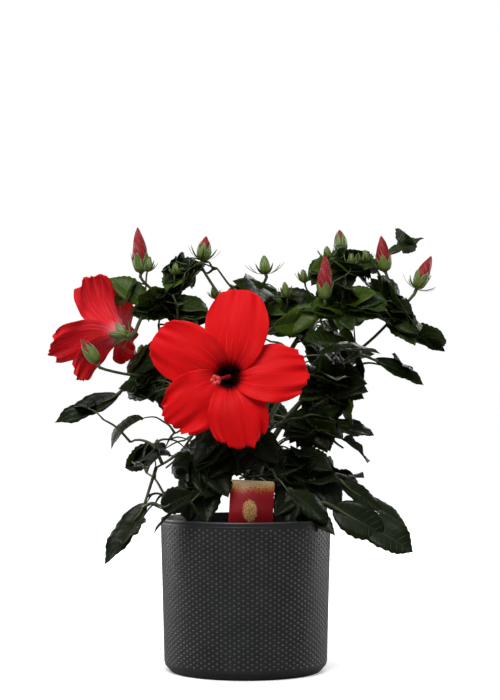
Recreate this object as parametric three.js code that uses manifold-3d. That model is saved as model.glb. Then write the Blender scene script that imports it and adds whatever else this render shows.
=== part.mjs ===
// A hibiscus shrub in flower, growing in a dark studded pot, as a three.js scene of separate closed solids.
// Millimetres. X runs to the right of the front view, Y away from it and Z up. The origin is on the pot's axis,
// at its flat underside.
//
// The pot is a turned vessel with the potting mix inside it. A short main stem forks into boughs, each one
// tapering limb. Sprays (a few leaves lying in one plane) and clumps (a shoot with leaves all round) hang on
// the boughs, with two open blooms and the buds that stand clear of the leaves. Whatever is made later is cut
// back from what is already there, so every piece stays clear of its neighbours.

import * as THREE from "three";
import { mergeVertices } from "three/addons/utils/BufferGeometryUtils.js";
import Module from "manifold-3d";

const wasm = await Module();
wasm.setup();

// -----------------------------------------------------------------------------------------------------------
// Driving dimensions
// -----------------------------------------------------------------------------------------------------------

const GAP = 0.4; // clear space between neighbouring solids

const POT = {
  height: 135,
  rimRadius: 75,
  wallFootRadius: 71.5, // where the wall meets the chamfer above the foot
  footRadius: 66.5,
  footHeight: 6.5,
  wall: 5,
  floor: 7,
  edge: 1.2, // the small bevels along the rim
  corner: 5.5, // the bevel between the wall and the floor, inside
  sides: 30,
};
const MIX = { top: POT.height - 14, heap: 2 }; // the potting mix, heaped a little towards the stem
const LABEL = { width: 38, height: 49, thick: 0.8, x: 4.5, y: -52, turn: 3, sunk: 9 };

const STEM = { footRadius: 8.5, radius: 5.6, topRadius: 4.4, lean: 3, height: 50, flareHeight: 12, bow: 0.02 };
const BOUGH = { radius: 3.3, tipRadius: 1.7, bow: 0.12 };
const FORK = new THREE.Vector3(STEM.lean, 0, MIX.top + STEM.height);

const BUD = { width: 17, stalkRadius: 1.4, tipRadius: 0.3 }; // a full-grown bud
const BLOOM = {
  petals: 5,
  sidesPerPetal: 4,
  notch: 0.2, // how far the outline falls back between two petals
  stalkRadius: 3,
  calyxRadius: 8,
  calyxLength: 20,
  throat: 33, // depth of the throat above the base
  rim: 43, // height of the petals' rims above the base
  dish: 3, // how far the throat is dished
  sheet: 5, // thickness over the ruffles of a petal
  columnRadius: 3,
  antherRadius: 5,
  antherLength: 20,
};

// How wide and thick a mass of leaves is, how uneven, how much it narrows to its tip, how fine its faces.
const SPRAY = { width: 34, thick: 14, lumps: 0.1, narrowing: 0.5, detail: 2 };
const CLUMP = { width: 54, thick: 42, lumps: 0.16, narrowing: 0.1, detail: 3 };

const LIMB_FACES = {
  stem: { sides: 8, steps: 5 },
  bough: { sides: 6, steps: 5 },
  bud: { sides: 5, steps: 12 },
};

// -----------------------------------------------------------------------------------------------------------
// Materials
// -----------------------------------------------------------------------------------------------------------

const matte = (color, roughness) => new THREE.MeshStandardMaterial({ color, roughness, metalness: 0 });
const MATERIALS = {
  potClay: matte(0x2d2e2f, 0.6),
  mix: matte(0x2a1d14, 0.95),
  card: matte(0xa8322a, 0.5),
  bark: matte(0x4b4030, 0.85),
  leaf: matte(0x22381c, 0.42),
  budGreen: matte(0x5b7434, 0.6),
  petal: matte(0xcf1a1c, 0.55),
};

// -----------------------------------------------------------------------------------------------------------
// Solids: closed geometry in and out of manifold-3d, which cuts
// -----------------------------------------------------------------------------------------------------------

const vec = (point) => new THREE.Vector3(...point);
const { lerp, degToRad } = THREE.MathUtils;

function asSolid(geometry) {
  const bare = geometry.clone();
  bare.deleteAttribute("normal");
  bare.deleteAttribute("uv");
  const merged = mergeVertices(bare, 1e-3);
  return new wasm.Manifold(
    new wasm.Mesh({
      numProp: 3,
      vertProperties: merged.attributes.position.array,
      triVerts: new Uint32Array(merged.index.array),
    }),
  );
}

function asGeometry(solid) {
  const { vertProperties, triVerts } = solid.getMesh();
  const geometry = new THREE.BufferGeometry()
    .setAttribute("position", new THREE.BufferAttribute(vertProperties, 3))
    .setIndex(new THREE.BufferAttribute(triVerts, 1));
  geometry.computeVertexNormals();
  return geometry;
}

const group = new THREE.Group();
const neighbours = []; // the slightly larger copy of each solid so far, which later ones are cut by

// shape(extra) returns the closed geometry, `extra` mm larger all round. Its place is at `base`.
function place(name, material, base, shape) {
  let solid = asSolid(shape(0));
  for (const cutter of neighbours) solid = solid.subtract(cutter);
  solid = solid.decompose().reduce((a, b) => (a.volume() > b.volume() ? a : b));
  neighbours.push(asSolid(shape(GAP)));

  const mesh = new THREE.Mesh(asGeometry(solid).translate(-base.x, -base.y, -base.z), material);
  mesh.name = name;
  mesh.position.copy(base);
  group.add(mesh);
}

// -----------------------------------------------------------------------------------------------------------
// The pot, the potting mix in it and the plant label
// -----------------------------------------------------------------------------------------------------------

// A solid of revolution about Z from [radius, height] pairs, listed up the outside and back to the axis.
function turned(profile, sides) {
  const points = profile.map(([radius, height]) => new THREE.Vector2(radius, height));
  return new THREE.LatheGeometry(points, sides).rotateX(Math.PI / 2);
}

// The inside radius of the pot at a height, for a wall of even thickness.
function insideRadius(height) {
  const up = (height - POT.footHeight) / (POT.height - POT.footHeight);
  return lerp(POT.wallFootRadius, POT.rimRadius, up) - POT.wall;
}

function potShape(extra) {
  return turned(
    [
      [0, -extra],
      [POT.footRadius + extra, -extra],
      [POT.wallFootRadius + extra, POT.footHeight],
      [POT.rimRadius + extra, POT.height - POT.edge],
      [POT.rimRadius - POT.edge + extra, POT.height + extra],
      [insideRadius(POT.height) + POT.edge - extra, POT.height + extra],
      [insideRadius(POT.height) - extra, POT.height - POT.edge],
      [insideRadius(POT.floor + POT.corner) - extra, POT.floor + POT.corner],
      [insideRadius(POT.floor) - POT.corner - extra, POT.floor + extra],
      [0, POT.floor + extra],
    ],
    POT.sides,
  );
}

function mixShape(extra) {
  const reach = extra - GAP; // clear of the wall all round
  return turned(
    [
      [0, POT.floor - reach],
      [insideRadius(POT.floor) - POT.corner + reach, POT.floor - reach],
      [insideRadius(POT.floor + POT.corner) + reach, POT.floor + POT.corner],
      [insideRadius(MIX.top) + reach, MIX.top - MIX.heap + extra],
      [insideRadius(MIX.top) / 2, MIX.top + extra],
      [0, MIX.top + extra],
    ],
    POT.sides,
  );
}

function labelShape(extra) {
  const height = LABEL.height + LABEL.sunk;
  return new THREE.BoxGeometry(LABEL.width + 2 * extra, LABEL.thick + 2 * extra, height + 2 * extra)
    .rotateY(degToRad(LABEL.turn))
    .translate(LABEL.x, LABEL.y, MIX.top + height / 2 - LABEL.sunk);
}

const axisAt = (height) => new THREE.Vector3(0, 0, height);
place("pot", MATERIALS.potClay, axisAt(0), potShape);
place("plant_label", MATERIALS.card, new THREE.Vector3(LABEL.x, LABEL.y, MIX.top), labelShape);
place("potting_mix", MATERIALS.mix, axisAt(POT.floor), mixShape);

// -----------------------------------------------------------------------------------------------------------
// The main stem and the boughs
// -----------------------------------------------------------------------------------------------------------

// A closed limb bent along a curve, with any radius along it.
function limbShape(curve, radiusAt, { sides, steps }, extra) {
  const tube = new THREE.CylinderGeometry(1, 1, 1, sides, steps);
  const { tangents, normals, binormals } = curve.computeFrenetFrames(steps);
  const at = tube.attributes.position;
  for (let i = 0; i < at.count; i++) {
    const t = at.getY(i) + 0.5;
    const step = Math.round(t * steps);
    const radius = radiusAt(t) + extra;
    const end = (step === steps) - (step === 0); // the two flat ends move outwards as the limb grows
    const point = curve
      .getPointAt(t)
      .addScaledVector(normals[step], at.getX(i) * radius)
      .addScaledVector(binormals[step], -at.getZ(i) * radius)
      .addScaledVector(tangents[step], end * extra);
    at.setXYZ(i, point.x, point.y, point.z);
  }
  return tube;
}

// A curve that leaves `from` steeply, as a shoot does, and bows out to `to`.
function bowed(from, to, bow) {
  const rise = from.distanceTo(to) * bow;
  const middle = from.clone().lerp(to, 0.5);
  const inwards = new THREE.Vector3(from.x - to.x, from.y - to.y, 0).normalize();
  middle.addScaledVector(inwards, rise).z += rise / 2;
  return new THREE.QuadraticBezierCurve3(from, middle, to);
}

const stemCurve = bowed(axisAt(MIX.top + GAP), FORK, STEM.bow);
function stemRadius(t) {
  const flare = Math.max(0, 1 - (t * STEM.height) / STEM.flareHeight) ** 2;
  return lerp(STEM.radius, STEM.topRadius, t) + flare * (STEM.footRadius - STEM.radius);
}
place("main_stem", MATERIALS.bark, axisAt(MIX.top), (extra) =>
  limbShape(stemCurve, stemRadius, LIMB_FACES.stem, extra),
);

// Where each bough ends, and how far up the main stem it starts (1 is the fork).
const BOUGHS = {
  bough_top_right: { tip: [62, 2, 316], start: 1 },
  bough_top_left: { tip: [-60, 4, 320], start: 0.96 },
  bough_top_middle: { tip: [-10, 14, 318], start: 0.98 },
  bough_right: { tip: [92, -2, 276], start: 0.9 },
  bough_left: { tip: [-74, -4, 262], start: 0.86 },
  bough_front: { tip: [-15, -40, 252], start: 0.94 },
  bough_back_left: { tip: [-46, 52, 262], start: 0.92 },
  bough_back_right: { tip: [50, 54, 268], start: 0.88 },
  bough_right_low: { tip: [60, -26, 178], start: 0.6 },
  bough_left_low: { tip: [-56, -30, 186], start: 0.66 },
};

const boughTip = (name) => vec(BOUGHS[name].tip);
for (const [name, { start }] of Object.entries(BOUGHS)) {
  const from = stemCurve.getPointAt(start);
  const curve = bowed(from, boughTip(name), BOUGH.bow);
  const radius = (t) => lerp(BOUGH.radius, BOUGH.tipRadius, t);
  place(name, MATERIALS.bark, from, (extra) => limbShape(curve, radius, LIMB_FACES.bough, extra));
}

// -----------------------------------------------------------------------------------------------------------
// Buds on their stalks, and the two open blooms
// -----------------------------------------------------------------------------------------------------------

// The bud's own outline: full at the calyx, then drawn out to a point.
const budOutline = (t) => Math.sin(Math.PI * Math.min(1, t * 1.05 + 0.08) ** 0.62) ** 0.9;

// Where each bud's tip and calyx are, and the bough its stalk leaves. `size` is against a full-grown bud.
const BUDS = {
  bud_left_tall: { tip: [-96, 5, 393], calyx: [-91.5, 5, 350], on: "bough_top_left", size: 1 },
  bud_left_small: { tip: [-35, 18, 386], calyx: [-38, 17, 362], on: "bough_top_middle", size: 0.75 },
  bud_middle: { tip: [16, -6, 367], calyx: [17, -6, 349], on: "bough_top_middle", size: 0.6 },
  bud_right_red: { tip: [69, -42, 365], calyx: [68, -40, 326], on: "bough_top_right", size: 0.95 },
  bud_right_green: { tip: [84, 20, 392], calyx: [86, 19, 369], on: "bough_top_right", size: 0.8 },
  bud_right_tall: { tip: [120, 0, 385], calyx: [121.5, 0, 350], on: "bough_top_right", size: 0.9 },
  bud_far_right: { tip: [166, 12, 368], calyx: [151, 10, 336], on: "bough_right", size: 0.88 },
  bud_far_left: { tip: [-142, -52, 292], calyx: [-126, -50, 269], on: "bough_left", size: 0.85 },
};

for (const [name, { tip, calyx, on, size }] of Object.entries(BUDS)) {
  const foot = boughTip(on);
  const neck = vec(calyx).lerp(vec(tip), -0.25);
  const curve = new THREE.CatmullRomCurve3([foot, foot.clone().lerp(neck, 0.6), vec(calyx), vec(tip)]);
  const stalkShare = 1 - vec(calyx).distanceTo(vec(tip)) / curve.getLength();
  const radius = (t) => {
    if (t <= stalkShare) return BUD.stalkRadius;
    const along = (t - stalkShare) / (1 - stalkShare);
    return Math.max(BUD.tipRadius, (BUD.width / 2) * size * budOutline(along));
  };
  place(name, MATERIALS.budGreen, foot, (extra) => limbShape(curve, radius, LIMB_FACES.bud, extra));
}

// An open bloom: calyx, flaring tube, a dish of five petals and the staminal column standing out of the throat.
// The outline runs up the back of the petals, over the rim and down the front to the throat, then up the column.
// The column's tip is carried sideways by `sway`.
function bloomShape({ base, facing, reach, column, turn, sway }, extra) {
  const { petals, notch, calyxRadius, calyxLength, throat, rim, dish, sheet } = BLOOM;
  const geometry = turned(
    [
      [0, -extra],
      [BLOOM.stalkRadius + extra, -extra],
      [calyxRadius + extra, calyxLength],
      [reach * 0.4, throat - extra],
      [reach + extra, rim],
      [reach + extra, rim + sheet],
      [reach * 0.8, rim + sheet + extra],
      [reach * 0.35, throat + sheet + dish + extra],
      [BLOOM.columnRadius + extra, throat + extra],
      [BLOOM.columnRadius + extra, column - BLOOM.antherLength],
      [BLOOM.antherRadius + extra, column - BLOOM.antherLength / 2],
      [BLOOM.columnRadius + extra, column],
      [0, column + extra],
    ],
    petals * BLOOM.sidesPerPetal,
  );
  const towards = new THREE.Quaternion().setFromUnitVectors(new THREE.Vector3(0, 0, 1), facing);
  const spin = new THREE.Quaternion().setFromAxisAngle(facing, degToRad(turn));
  const at = geometry.attributes.position;
  for (let i = 0; i < at.count; i++) {
    const point = new THREE.Vector3().fromBufferAttribute(at, i);
    const radius = Math.hypot(point.x, point.y);
    const share = Math.min(1, radius / reach);
    const between = (1 - Math.cos(petals * Math.atan2(point.y, point.x))) / 2;
    const lobe = 1 - notch * share ** 2 * between;
    const up = radius < throat / 3 ? Math.max(0, (point.z - throat) / (column - throat)) : 0;
    point.set(point.x * lobe, point.y * lobe, point.z);
    point.applyQuaternion(towards).applyQuaternion(spin).add(base).addScaledVector(sway, up);
    at.setXYZ(i, point.x, point.y, point.z);
  }
  return geometry;
}

const BLOOMS = {
  bloom_front: {
    base: vec([-17, -50, 261]),
    facing: vec([0.05, -0.99, 0.06]).normalize(),
    sway: vec([-13, 0, -12]),
    reach: 67,
    column: 92,
    turn: 12,
  },
  bloom_left: {
    base: vec([-105, -6, 297]),
    facing: vec([-0.69, 0.69, 0.2]).normalize(),
    sway: vec([0, 0, -6]),
    reach: 50,
    column: 68,
    turn: 20,
  },
};

for (const [name, bloom] of Object.entries(BLOOMS)) {
  place(name, MATERIALS.petal, bloom.base, (extra) => bloomShape(bloom, extra));
}

// -----------------------------------------------------------------------------------------------------------
// Foliage: sprays and clumps
// -----------------------------------------------------------------------------------------------------------

// One uneven mass from where its shoot enters to its furthest tip. `face` is the side its leaves turn to the
// light, and `arch` lifts the middle, so that the tip droops.
function foliageShape({ from, to, kind, width = 1, thick = 1, arch = 0, face, seed }, extra) {
  const along = to.clone().sub(from);
  const half = along.length() / 2 + extra;
  along.normalize();
  const normal = face.clone().addScaledVector(along, -face.dot(along)).normalize();
  const side = normal.clone().cross(along);
  const middle = from.clone().lerp(to, 0.5);
  const halfWidth = (kind.width * width) / 2 + extra;
  const halfThick = (kind.thick * thick) / 2 + extra;

  const geometry = new THREE.OctahedronGeometry(1, kind.detail);
  const at = geometry.attributes.position;
  for (let i = 0; i < at.count; i++) {
    const [x, y, z] = [at.getX(i), at.getY(i), at.getZ(i)];
    const swell = Math.sin(3.1 * x + 2.3 * seed) * Math.cos(2.7 * y - seed);
    const ripple = Math.sin(4.3 * z + 1.9 * x + seed);
    const lump = 1 + kind.lumps * (swell + 0.7 * ripple);
    const narrow = lump * (1 - kind.narrowing * Math.max(0, x));
    const point = middle
      .clone()
      .addScaledVector(along, x * half)
      .addScaledVector(side, y * halfWidth * narrow)
      .addScaledVector(normal, z * halfThick * narrow + arch * (1 - x * x));
    at.setXYZ(i, point.x, point.y, point.z);
  }
  return geometry;
}

// Leaves turn their faces up and outwards unless they are told another way.
const FACE = {
  forwardUp: [0.1, -0.7, 0.7],
  forward: [0.2, -0.9, 0.4],
  right: [0.4, -0.4, 0.8],
  left: [-0.6, -0.6, 0.5],
};

// Every mass with its shoot's entry and its furthest tip. The sprays stand in front of the clumps, and within
// each list a mass is cut back from those above it.
const SPRAYS = {
  // down the right-hand side, from the crown to the pot's rim
  spray_right_crown: { from: [122, 12, 366], to: [160, 16, 384], width: 1 },
  spray_far_right: { from: [134, 6, 308], to: [178, 8, 282], width: 0.7, arch: 3 },
  spray_right_middle: { from: [50, -26, 292], to: [128, -34, 254], thick: 1.2, arch: 8, face: FACE.forwardUp },
  spray_right_outer: { from: [108, -6, 282], to: [158, -2, 252], width: 0.95, thick: 1.2 },
  spray_right_waist: { from: [62, -10, 238], to: [113, -18, 208], thick: 1.6 },
  spray_right_waist_low: { from: [66, -18, 206], to: [114, -12, 176], thick: 1.4 },
  spray_right_low: { from: [80, -18, 168], to: [141, -14, 128], arch: 7, face: FACE.right },
  spray_right_droop: { from: [76, -52, 156], to: [143, -62, 109], width: 1.2, arch: 5, face: FACE.forward },
  spray_rim_right: { from: [36, -58, 156], to: [76, -74, 124], width: 0.95, arch: 3 },

  // the bright leaves above the front bloom
  spray_middle_crown: { from: [32, -2, 330], to: [-12, -14, 344], width: 0.95, thick: 1.2 },

  // down the left-hand side, from the crown to the pot's rim
  spray_left_crown: { from: [-78, 6, 324], to: [-122, 14, 348], width: 1, face: FACE.forward },
  spray_far_left: { from: [-106, -14, 246], to: [-168, -16, 219], width: 0.8, thick: 1.1, arch: 4 },
  spray_left_waist: { from: [-78, -22, 216], to: [-128, -27, 194], width: 0.85, thick: 1.1 },
  spray_left_low: { from: [-56, -34, 196], to: [-115, -40, 159], thick: 1.5, arch: 8 },
  spray_left_droop: { from: [-76, -46, 156], to: [-121, -54, 98], width: 0.85, arch: 4, face: FACE.left },
  spray_rim_left: { from: [-46, -62, 164], to: [-85, -76, 116], width: 0.9, thick: 1.2, arch: 4 },

  // the back
  spray_back_left_droop: { from: [-52, 44, 196], to: [-112, 84, 140], width: 1.4, thick: 1.7, arch: 8 },
  spray_back_right_droop: { from: [56, 44, 198], to: [116, 82, 142], width: 1.4, thick: 1.7, arch: 8 },
};

const CLUMPS = {
  // the right-hand side
  clump_right_shoulder: { from: [110, 2, 348], to: [150, -2, 286], width: 0.75, thick: 0.7 },
  clump_right_crown: { from: [56, -22, 316], to: [126, -26, 322], width: 0.8, thick: 0.95 },
  clump_right_top: { from: [54, 10, 344], to: [118, 16, 362], width: 0.95, thick: 0.95 },
  clump_right_heart: { from: [38, -6, 258], to: [108, -14, 246], width: 0.95, thick: 1.15 },
  clump_right_waist: { from: [30, -4, 214], to: [88, -16, 210], width: 0.9, thick: 0.95 },
  clump_front_low_right: { from: [22, -24, 166], to: [84, -40, 160], width: 1, thick: 1.25 },

  // the middle, behind and below the front bloom
  clump_middle: { from: [14, 6, 300], to: [64, 8, 330], width: 0.95, thick: 0.95 },
  clump_front_heart: { from: [10, -18, 262], to: [-46, -28, 280], width: 0.8, thick: 0.9 },
  clump_front_low_middle: { from: [30, -30, 200], to: [-46, -46, 194], width: 0.85, thick: 1.05 },

  // the left-hand side
  clump_left_crown: { from: [-66, 4, 330], to: [-44, 8, 372], width: 0.85, thick: 0.8 },
  clump_left_shoulder: { from: [-30, 4, 312], to: [-104, -8, 314], width: 0.75, thick: 0.75 },
  clump_left_heart: { from: [-58, -8, 276], to: [-116, -12, 244], width: 0.85, thick: 0.85 },
  clump_front_low_left: { from: [-14, -30, 162], to: [-70, -48, 174], width: 0.9, thick: 1 },

  // the back
  clump_back_crown: { from: [-4, 34, 310], to: [4, 98, 330], width: 1.6, thick: 1.1 },
  clump_back_left: { from: [-44, 50, 266], to: [-112, 84, 264], width: 1.2, thick: 1.2 },
  clump_back_right: { from: [50, 54, 270], to: [114, 90, 266], width: 1.25, thick: 1.2 },
  clump_back_middle: { from: [2, 44, 236], to: [-8, 118, 226], width: 1.5, thick: 1.2 },
  clump_back_low: { from: [0, 34, 178], to: [16, 94, 160], width: 1.6, thick: 0.95 },
};

const masses = [
  ...Object.entries(SPRAYS).map(([name, mass]) => [name, { ...mass, kind: SPRAY }]),
  ...Object.entries(CLUMPS).map(([name, mass]) => [name, { ...mass, kind: CLUMP }]),
];
const LIGHT = { outwards: 0.55, upwards: 0.85 };
masses.forEach(([name, { from, to, face, ...sizes }], index) => {
  const [entry, tip] = [vec(from), vec(to)];
  const outwards = entry.clone().add(tip).setZ(0).normalize();
  const light = outwards.multiplyScalar(LIGHT.outwards).add(axisAt(LIGHT.upwards));
  const mass = { from: entry, to: tip, face: face ? vec(face) : light, seed: index + 1, ...sizes };
  place(name, MATERIALS.leaf, entry, (extra) => foliageShape(mass, extra));
});

export default group;
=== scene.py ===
# %% [markdown]
# # A potted hibiscus in flower
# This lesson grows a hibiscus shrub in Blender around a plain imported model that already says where
# everything is: the pot, the stem and boughs, each mass of leaves, each bud and the two open blooms. Every
# solid of that model that is too plain to show is replaced here by the real thing: studs on the pot, bark
# on the stem, and leaves, petals and sepals as thin closed blades. Lengths are metres, Z is up, and the
# front looks along +Y.

import math
import random

import bmesh
import bpy
import numpy as np
from mathutils import Matrix, Vector, noise
from mathutils.bvhtree import BVHTree


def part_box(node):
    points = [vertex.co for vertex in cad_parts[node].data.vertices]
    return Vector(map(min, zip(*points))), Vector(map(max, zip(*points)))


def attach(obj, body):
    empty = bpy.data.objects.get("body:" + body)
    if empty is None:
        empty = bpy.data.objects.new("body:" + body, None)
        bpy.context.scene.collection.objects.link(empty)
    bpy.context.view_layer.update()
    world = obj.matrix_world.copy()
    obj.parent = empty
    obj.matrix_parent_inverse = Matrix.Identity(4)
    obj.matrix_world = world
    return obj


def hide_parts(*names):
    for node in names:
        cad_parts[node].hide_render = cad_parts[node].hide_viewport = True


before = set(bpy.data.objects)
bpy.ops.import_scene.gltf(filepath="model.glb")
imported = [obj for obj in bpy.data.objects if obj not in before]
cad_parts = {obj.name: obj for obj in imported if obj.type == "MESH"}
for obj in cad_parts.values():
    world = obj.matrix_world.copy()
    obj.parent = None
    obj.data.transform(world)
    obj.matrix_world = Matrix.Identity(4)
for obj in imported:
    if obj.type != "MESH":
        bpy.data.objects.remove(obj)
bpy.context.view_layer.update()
MM = 0.001
UP = Vector((0, 0, 1))

# %% [markdown]
# ## Small helpers for materials
# A procedural material is a small graph. Spelling out every node makes long code, so this helper adds a
# node, sets its inputs and returns its output in one call. Values that are the same all over go straight on
# the shader.


# %% A short way to write node graphs
class Finish:
    """A material and short ways to add nodes to it."""

    def __init__(self, name, **sockets):
        self.material = bpy.data.materials.new(name)
        self.material.use_nodes = True
        self.tree = self.material.node_tree
        self.shader = self.tree.nodes["Principled BSDF"]
        self.set(self.shader, {key.replace("_", " "): value for key, value in sockets.items()})

    def set(self, node, inputs):
        for key, value in inputs.items():
            if isinstance(value, bpy.types.NodeSocket):
                self.tree.links.new(value, node.inputs[key])
            else:
                node.inputs[key].default_value = value

    def add(self, kind, inputs=None, output=0, **settings):
        node = self.tree.nodes.new("ShaderNode" + kind)
        for key, value in settings.items():
            setattr(node, key, value)
        self.set(node, inputs or {})
        return node.outputs[output]

    def math(self, operation, a, b=0.0):
        return self.add("Math", {0: a, 1: b}, operation=operation)

    def ramp(self, value, stops):
        node = self.tree.nodes.new("ShaderNodeValToRGB")
        self.set(node, {"Fac": value})
        elements = node.color_ramp.elements
        while len(elements) < len(stops):
            elements.new(0.5)
        for element, (position, color) in zip(elements, stops):
            element.position = position
            element.color = (*color, 1) if not isinstance(color, float) else (color, color, color, 1)
        return node.outputs[0]

    def mix(self, factor, a, b):
        pick = {"Factor": factor, 6: a, 7: b}
        return self.add("Mix", pick, output=2, data_type="RGBA")

    def noise(self, vector, scale, detail=3.0, roughness=0.5):
        inputs = {"Vector": vector, "Scale": scale, "Detail": detail, "Roughness": roughness}
        return self.add("TexNoise", inputs)

    def bump(self, height, distance, strength=1.0):
        """Raises the shader's surface by `height` times `distance` metres."""
        inputs = {"Height": height, "Distance": distance, "Strength": strength}
        self.set(self.shader, {"Normal": self.add("Bump", inputs)})

    def color(self, color):
        self.set(self.shader, {"Base Color": color})


def rgba(color, times=1.0):
    return (*[c * times for c in color], 1)


def position_of(finish):
    return finish.add("TexCoord", output=3)


def across_and_along(finish):
    """The two numbers of a blade's own UV map: 0 to 1 across it, and 0 to 1 from its foot to its tip."""
    uv = finish.add("UVMap", uv_map="blade")
    split = finish.tree.nodes.new("ShaderNodeSeparateXYZ")
    finish.set(split, {"Vector": uv})
    return split.outputs[0], split.outputs[1], uv


# %% [markdown]
# ## Small helpers for meshes
# One leaf is made carefully with bmesh operators and kept as a template: its points as (across, along,
# side) and its faces. The plant then has hundreds of copies, each bent its own way, and joining them as
# arrays is much faster than making hundreds of objects. The same goes for rods: twigs, stalks and filaments
# are bent copies of one rod.


# %% Templates and joined copies
def template(bm):
    """The points and faces of a finished bmesh."""
    bm.verts.index_update()
    points = np.array([v.co for v in bm.verts])
    faces = [tuple(v.index for v in face.verts) for face in bm.faces]
    bm.free()
    return points, faces


def blade_template(columns, rows, pointed=True):
    """A thin closed blade. Its points are across (-1 to 1), along (0 to 1) and side (0 on top, -1 underneath)."""
    bm = bmesh.new()
    bmesh.ops.create_grid(bm, x_segments=columns, y_segments=rows, size=1)
    for v in bm.verts:
        v.co.y = (v.co.y + 1) / 2
        if pointed and (v.co.y > 1 - 1e-4 or v.co.y < 1e-4):
            v.co.x = 0
    bmesh.ops.remove_doubles(bm, verts=bm.verts, dist=1e-5)
    top = {(round(v.co.x, 4), round(v.co.y, 4)) for v in bm.verts}
    bmesh.ops.solidify(bm, geom=bm.faces[:], thickness=0.001)
    points, faces = template(bm)
    low = points[:, 2].min()
    underneath = points[:, 2] < low / 2 if low < -1e-5 else points[:, 2] > 5e-4
    points[:, 2] = np.where(underneath, -1, 0)
    points[:, 0] = np.round(points[:, 0] * columns / 2) * 2 / columns
    points[:, 1] = np.round(points[:, 1] * rows) / rows
    assert len(points) == 2 * len(top)
    return points, faces


def rod_template(sides, rings):
    """A closed rod. Its points are an angle, a place along (0 to 1) and 1 on the side or 0 in an end cap."""
    bm = bmesh.new()
    bmesh.ops.create_cone(bm, cap_ends=True, segments=sides, radius1=1, radius2=1, depth=1)
    upright = [e for e in bm.edges if abs(e.verts[0].co.z - e.verts[1].co.z) > 0.5]
    bmesh.ops.subdivide_edges(bm, edges=upright, cuts=rings - 1)
    points, faces = template(bm)
    angle = np.arctan2(points[:, 1], points[:, 0])
    return np.stack([angle, np.round((points[:, 2] + 0.5) * rings) / rings], 1), faces


class Heap:
    """Many small closed shapes joined into one mesh."""

    def __init__(self):
        self.points, self.faces, self.uvs, self.slots = [], [], [], []
        self.count = 0

    def add(self, points, faces, uvs, slots=0):
        shift = self.count
        self.faces += [tuple(i + shift for i in face) for face in faces]
        self.slots += slots if isinstance(slots, list) else [slots] * len(faces)
        self.points.append(points)
        self.uvs.append(uvs)
        self.count += len(points)

    def mesh(self, name):
        mesh = bpy.data.meshes.new(name)
        mesh.from_pydata(np.concatenate(self.points).tolist(), [], self.faces)
        layer = mesh.uv_layers.new(name="blade")
        corner = np.empty(len(mesh.loops), np.int32)
        mesh.loops.foreach_get("vertex_index", corner)
        layer.data.foreach_set("uv", np.concatenate(self.uvs)[corner].astype(np.float32).ravel())
        mesh.polygons.foreach_set("material_index", np.array(self.slots, np.int32))
        return mesh


def piece(name, mesh, finishes, replaces=(), smooth=True):
    """Puts a finished mesh in the scene as a piece of the plant."""
    made = bpy.data.objects.new(name, mesh)
    bpy.context.scene.collection.objects.link(made)
    for finish in finishes:
        mesh.materials.append(finish.material)
    mesh.polygons.foreach_set("use_smooth", [smooth] * len(mesh.polygons))
    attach(made, "root")
    if replaces:
        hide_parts(*replaces)
    return made


def finished(bm, name):
    """Turns a bmesh made by operators into a mesh, faces outwards."""
    bmesh.ops.recalc_face_normals(bm, faces=bm.faces)
    mesh = bpy.data.meshes.new(name)
    bm.to_mesh(mesh)
    bm.free()
    return mesh


def array(vector):
    return np.array(vector, float)


def unit(vector):
    vector = array(vector)
    return vector / max(np.linalg.norm(vector), 1e-12)


def wave(rng):
    return rng.uniform(0, 2 * math.pi)


# %% [markdown]
# ## The pot
# The pot is thrown or cast as one round vessel: a nearly straight wall, a plain band at the rim, and a
# chamfer down to a narrower foot. Its profile is drawn once, as an edge chain, and spun about Z, which is
# how a potter thinks. The lattice of studs is thousands of equal domes. They are too many to model by hand
# and too regular for noise, so one dome is bent into place again and again, every second column half a step
# lower.

# %% Pot dimensions
_, pot_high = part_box("pot")
POT = {
    "height": pot_high.z,
    "rim": max(pot_high.xy),
    "wall_foot": max(pot_high.xy) - 3.5 * MM,
    "foot": max(pot_high.xy) - 8.5 * MM,
    "foot_height": 6.5 * MM,
    "wall": 5 * MM,
    "floor": 7 * MM,
    "band": 3.2 * MM,
    "groove": 0.35 * MM,
    "turns": 128,
}
print("pot:", {key: round(value, 4) for key, value in POT.items()})


def wall_radius(z):
    """The outside radius of the wall at a height."""
    up = (z - POT["foot_height"]) / (POT["height"] - POT["foot_height"])
    return POT["wall_foot"] + (POT["rim"] - POT["wall_foot"]) * up


# %% Pot glaze
def pot_glaze():
    glaze = Finish("charcoal_glaze", Roughness=0.45, Specular_IOR_Level=0.3)
    place = position_of(glaze)
    cloud = glaze.noise(place, 60.0, 4.0)
    glaze.color(glaze.ramp(cloud, [(0.3, (0.014, 0.0145, 0.0155)), (0.7, (0.021, 0.0215, 0.0225))]))
    grain = glaze.noise(place, 2600.0, 2.0)
    glaze.bump(grain, 0.00006)
    rough = glaze.ramp(glaze.noise(place, 300.0), [(0.3, 0.36), (0.7, 0.5)])
    glaze.set(glaze.shader, {"Roughness": rough})
    return glaze


def stud_glaze():
    """The studs are paler and smoother than the wall; the paler colour is a painted highlight on the studs and on
    the rim's top edge.
    """
    glaze = Finish("stud_glaze", Roughness=0.34, Specular_IOR_Level=0.5)
    cloud = glaze.noise(position_of(glaze), 60.0, 2.0)
    glaze.color(glaze.ramp(cloud, [(0.3, (0.035, 0.036, 0.037)), (0.7, (0.055, 0.056, 0.058))]))
    return glaze


# The stud glaze's paler colour is a painted highlight.
charcoal, highlight_glaze = pot_glaze(), stud_glaze()


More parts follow.
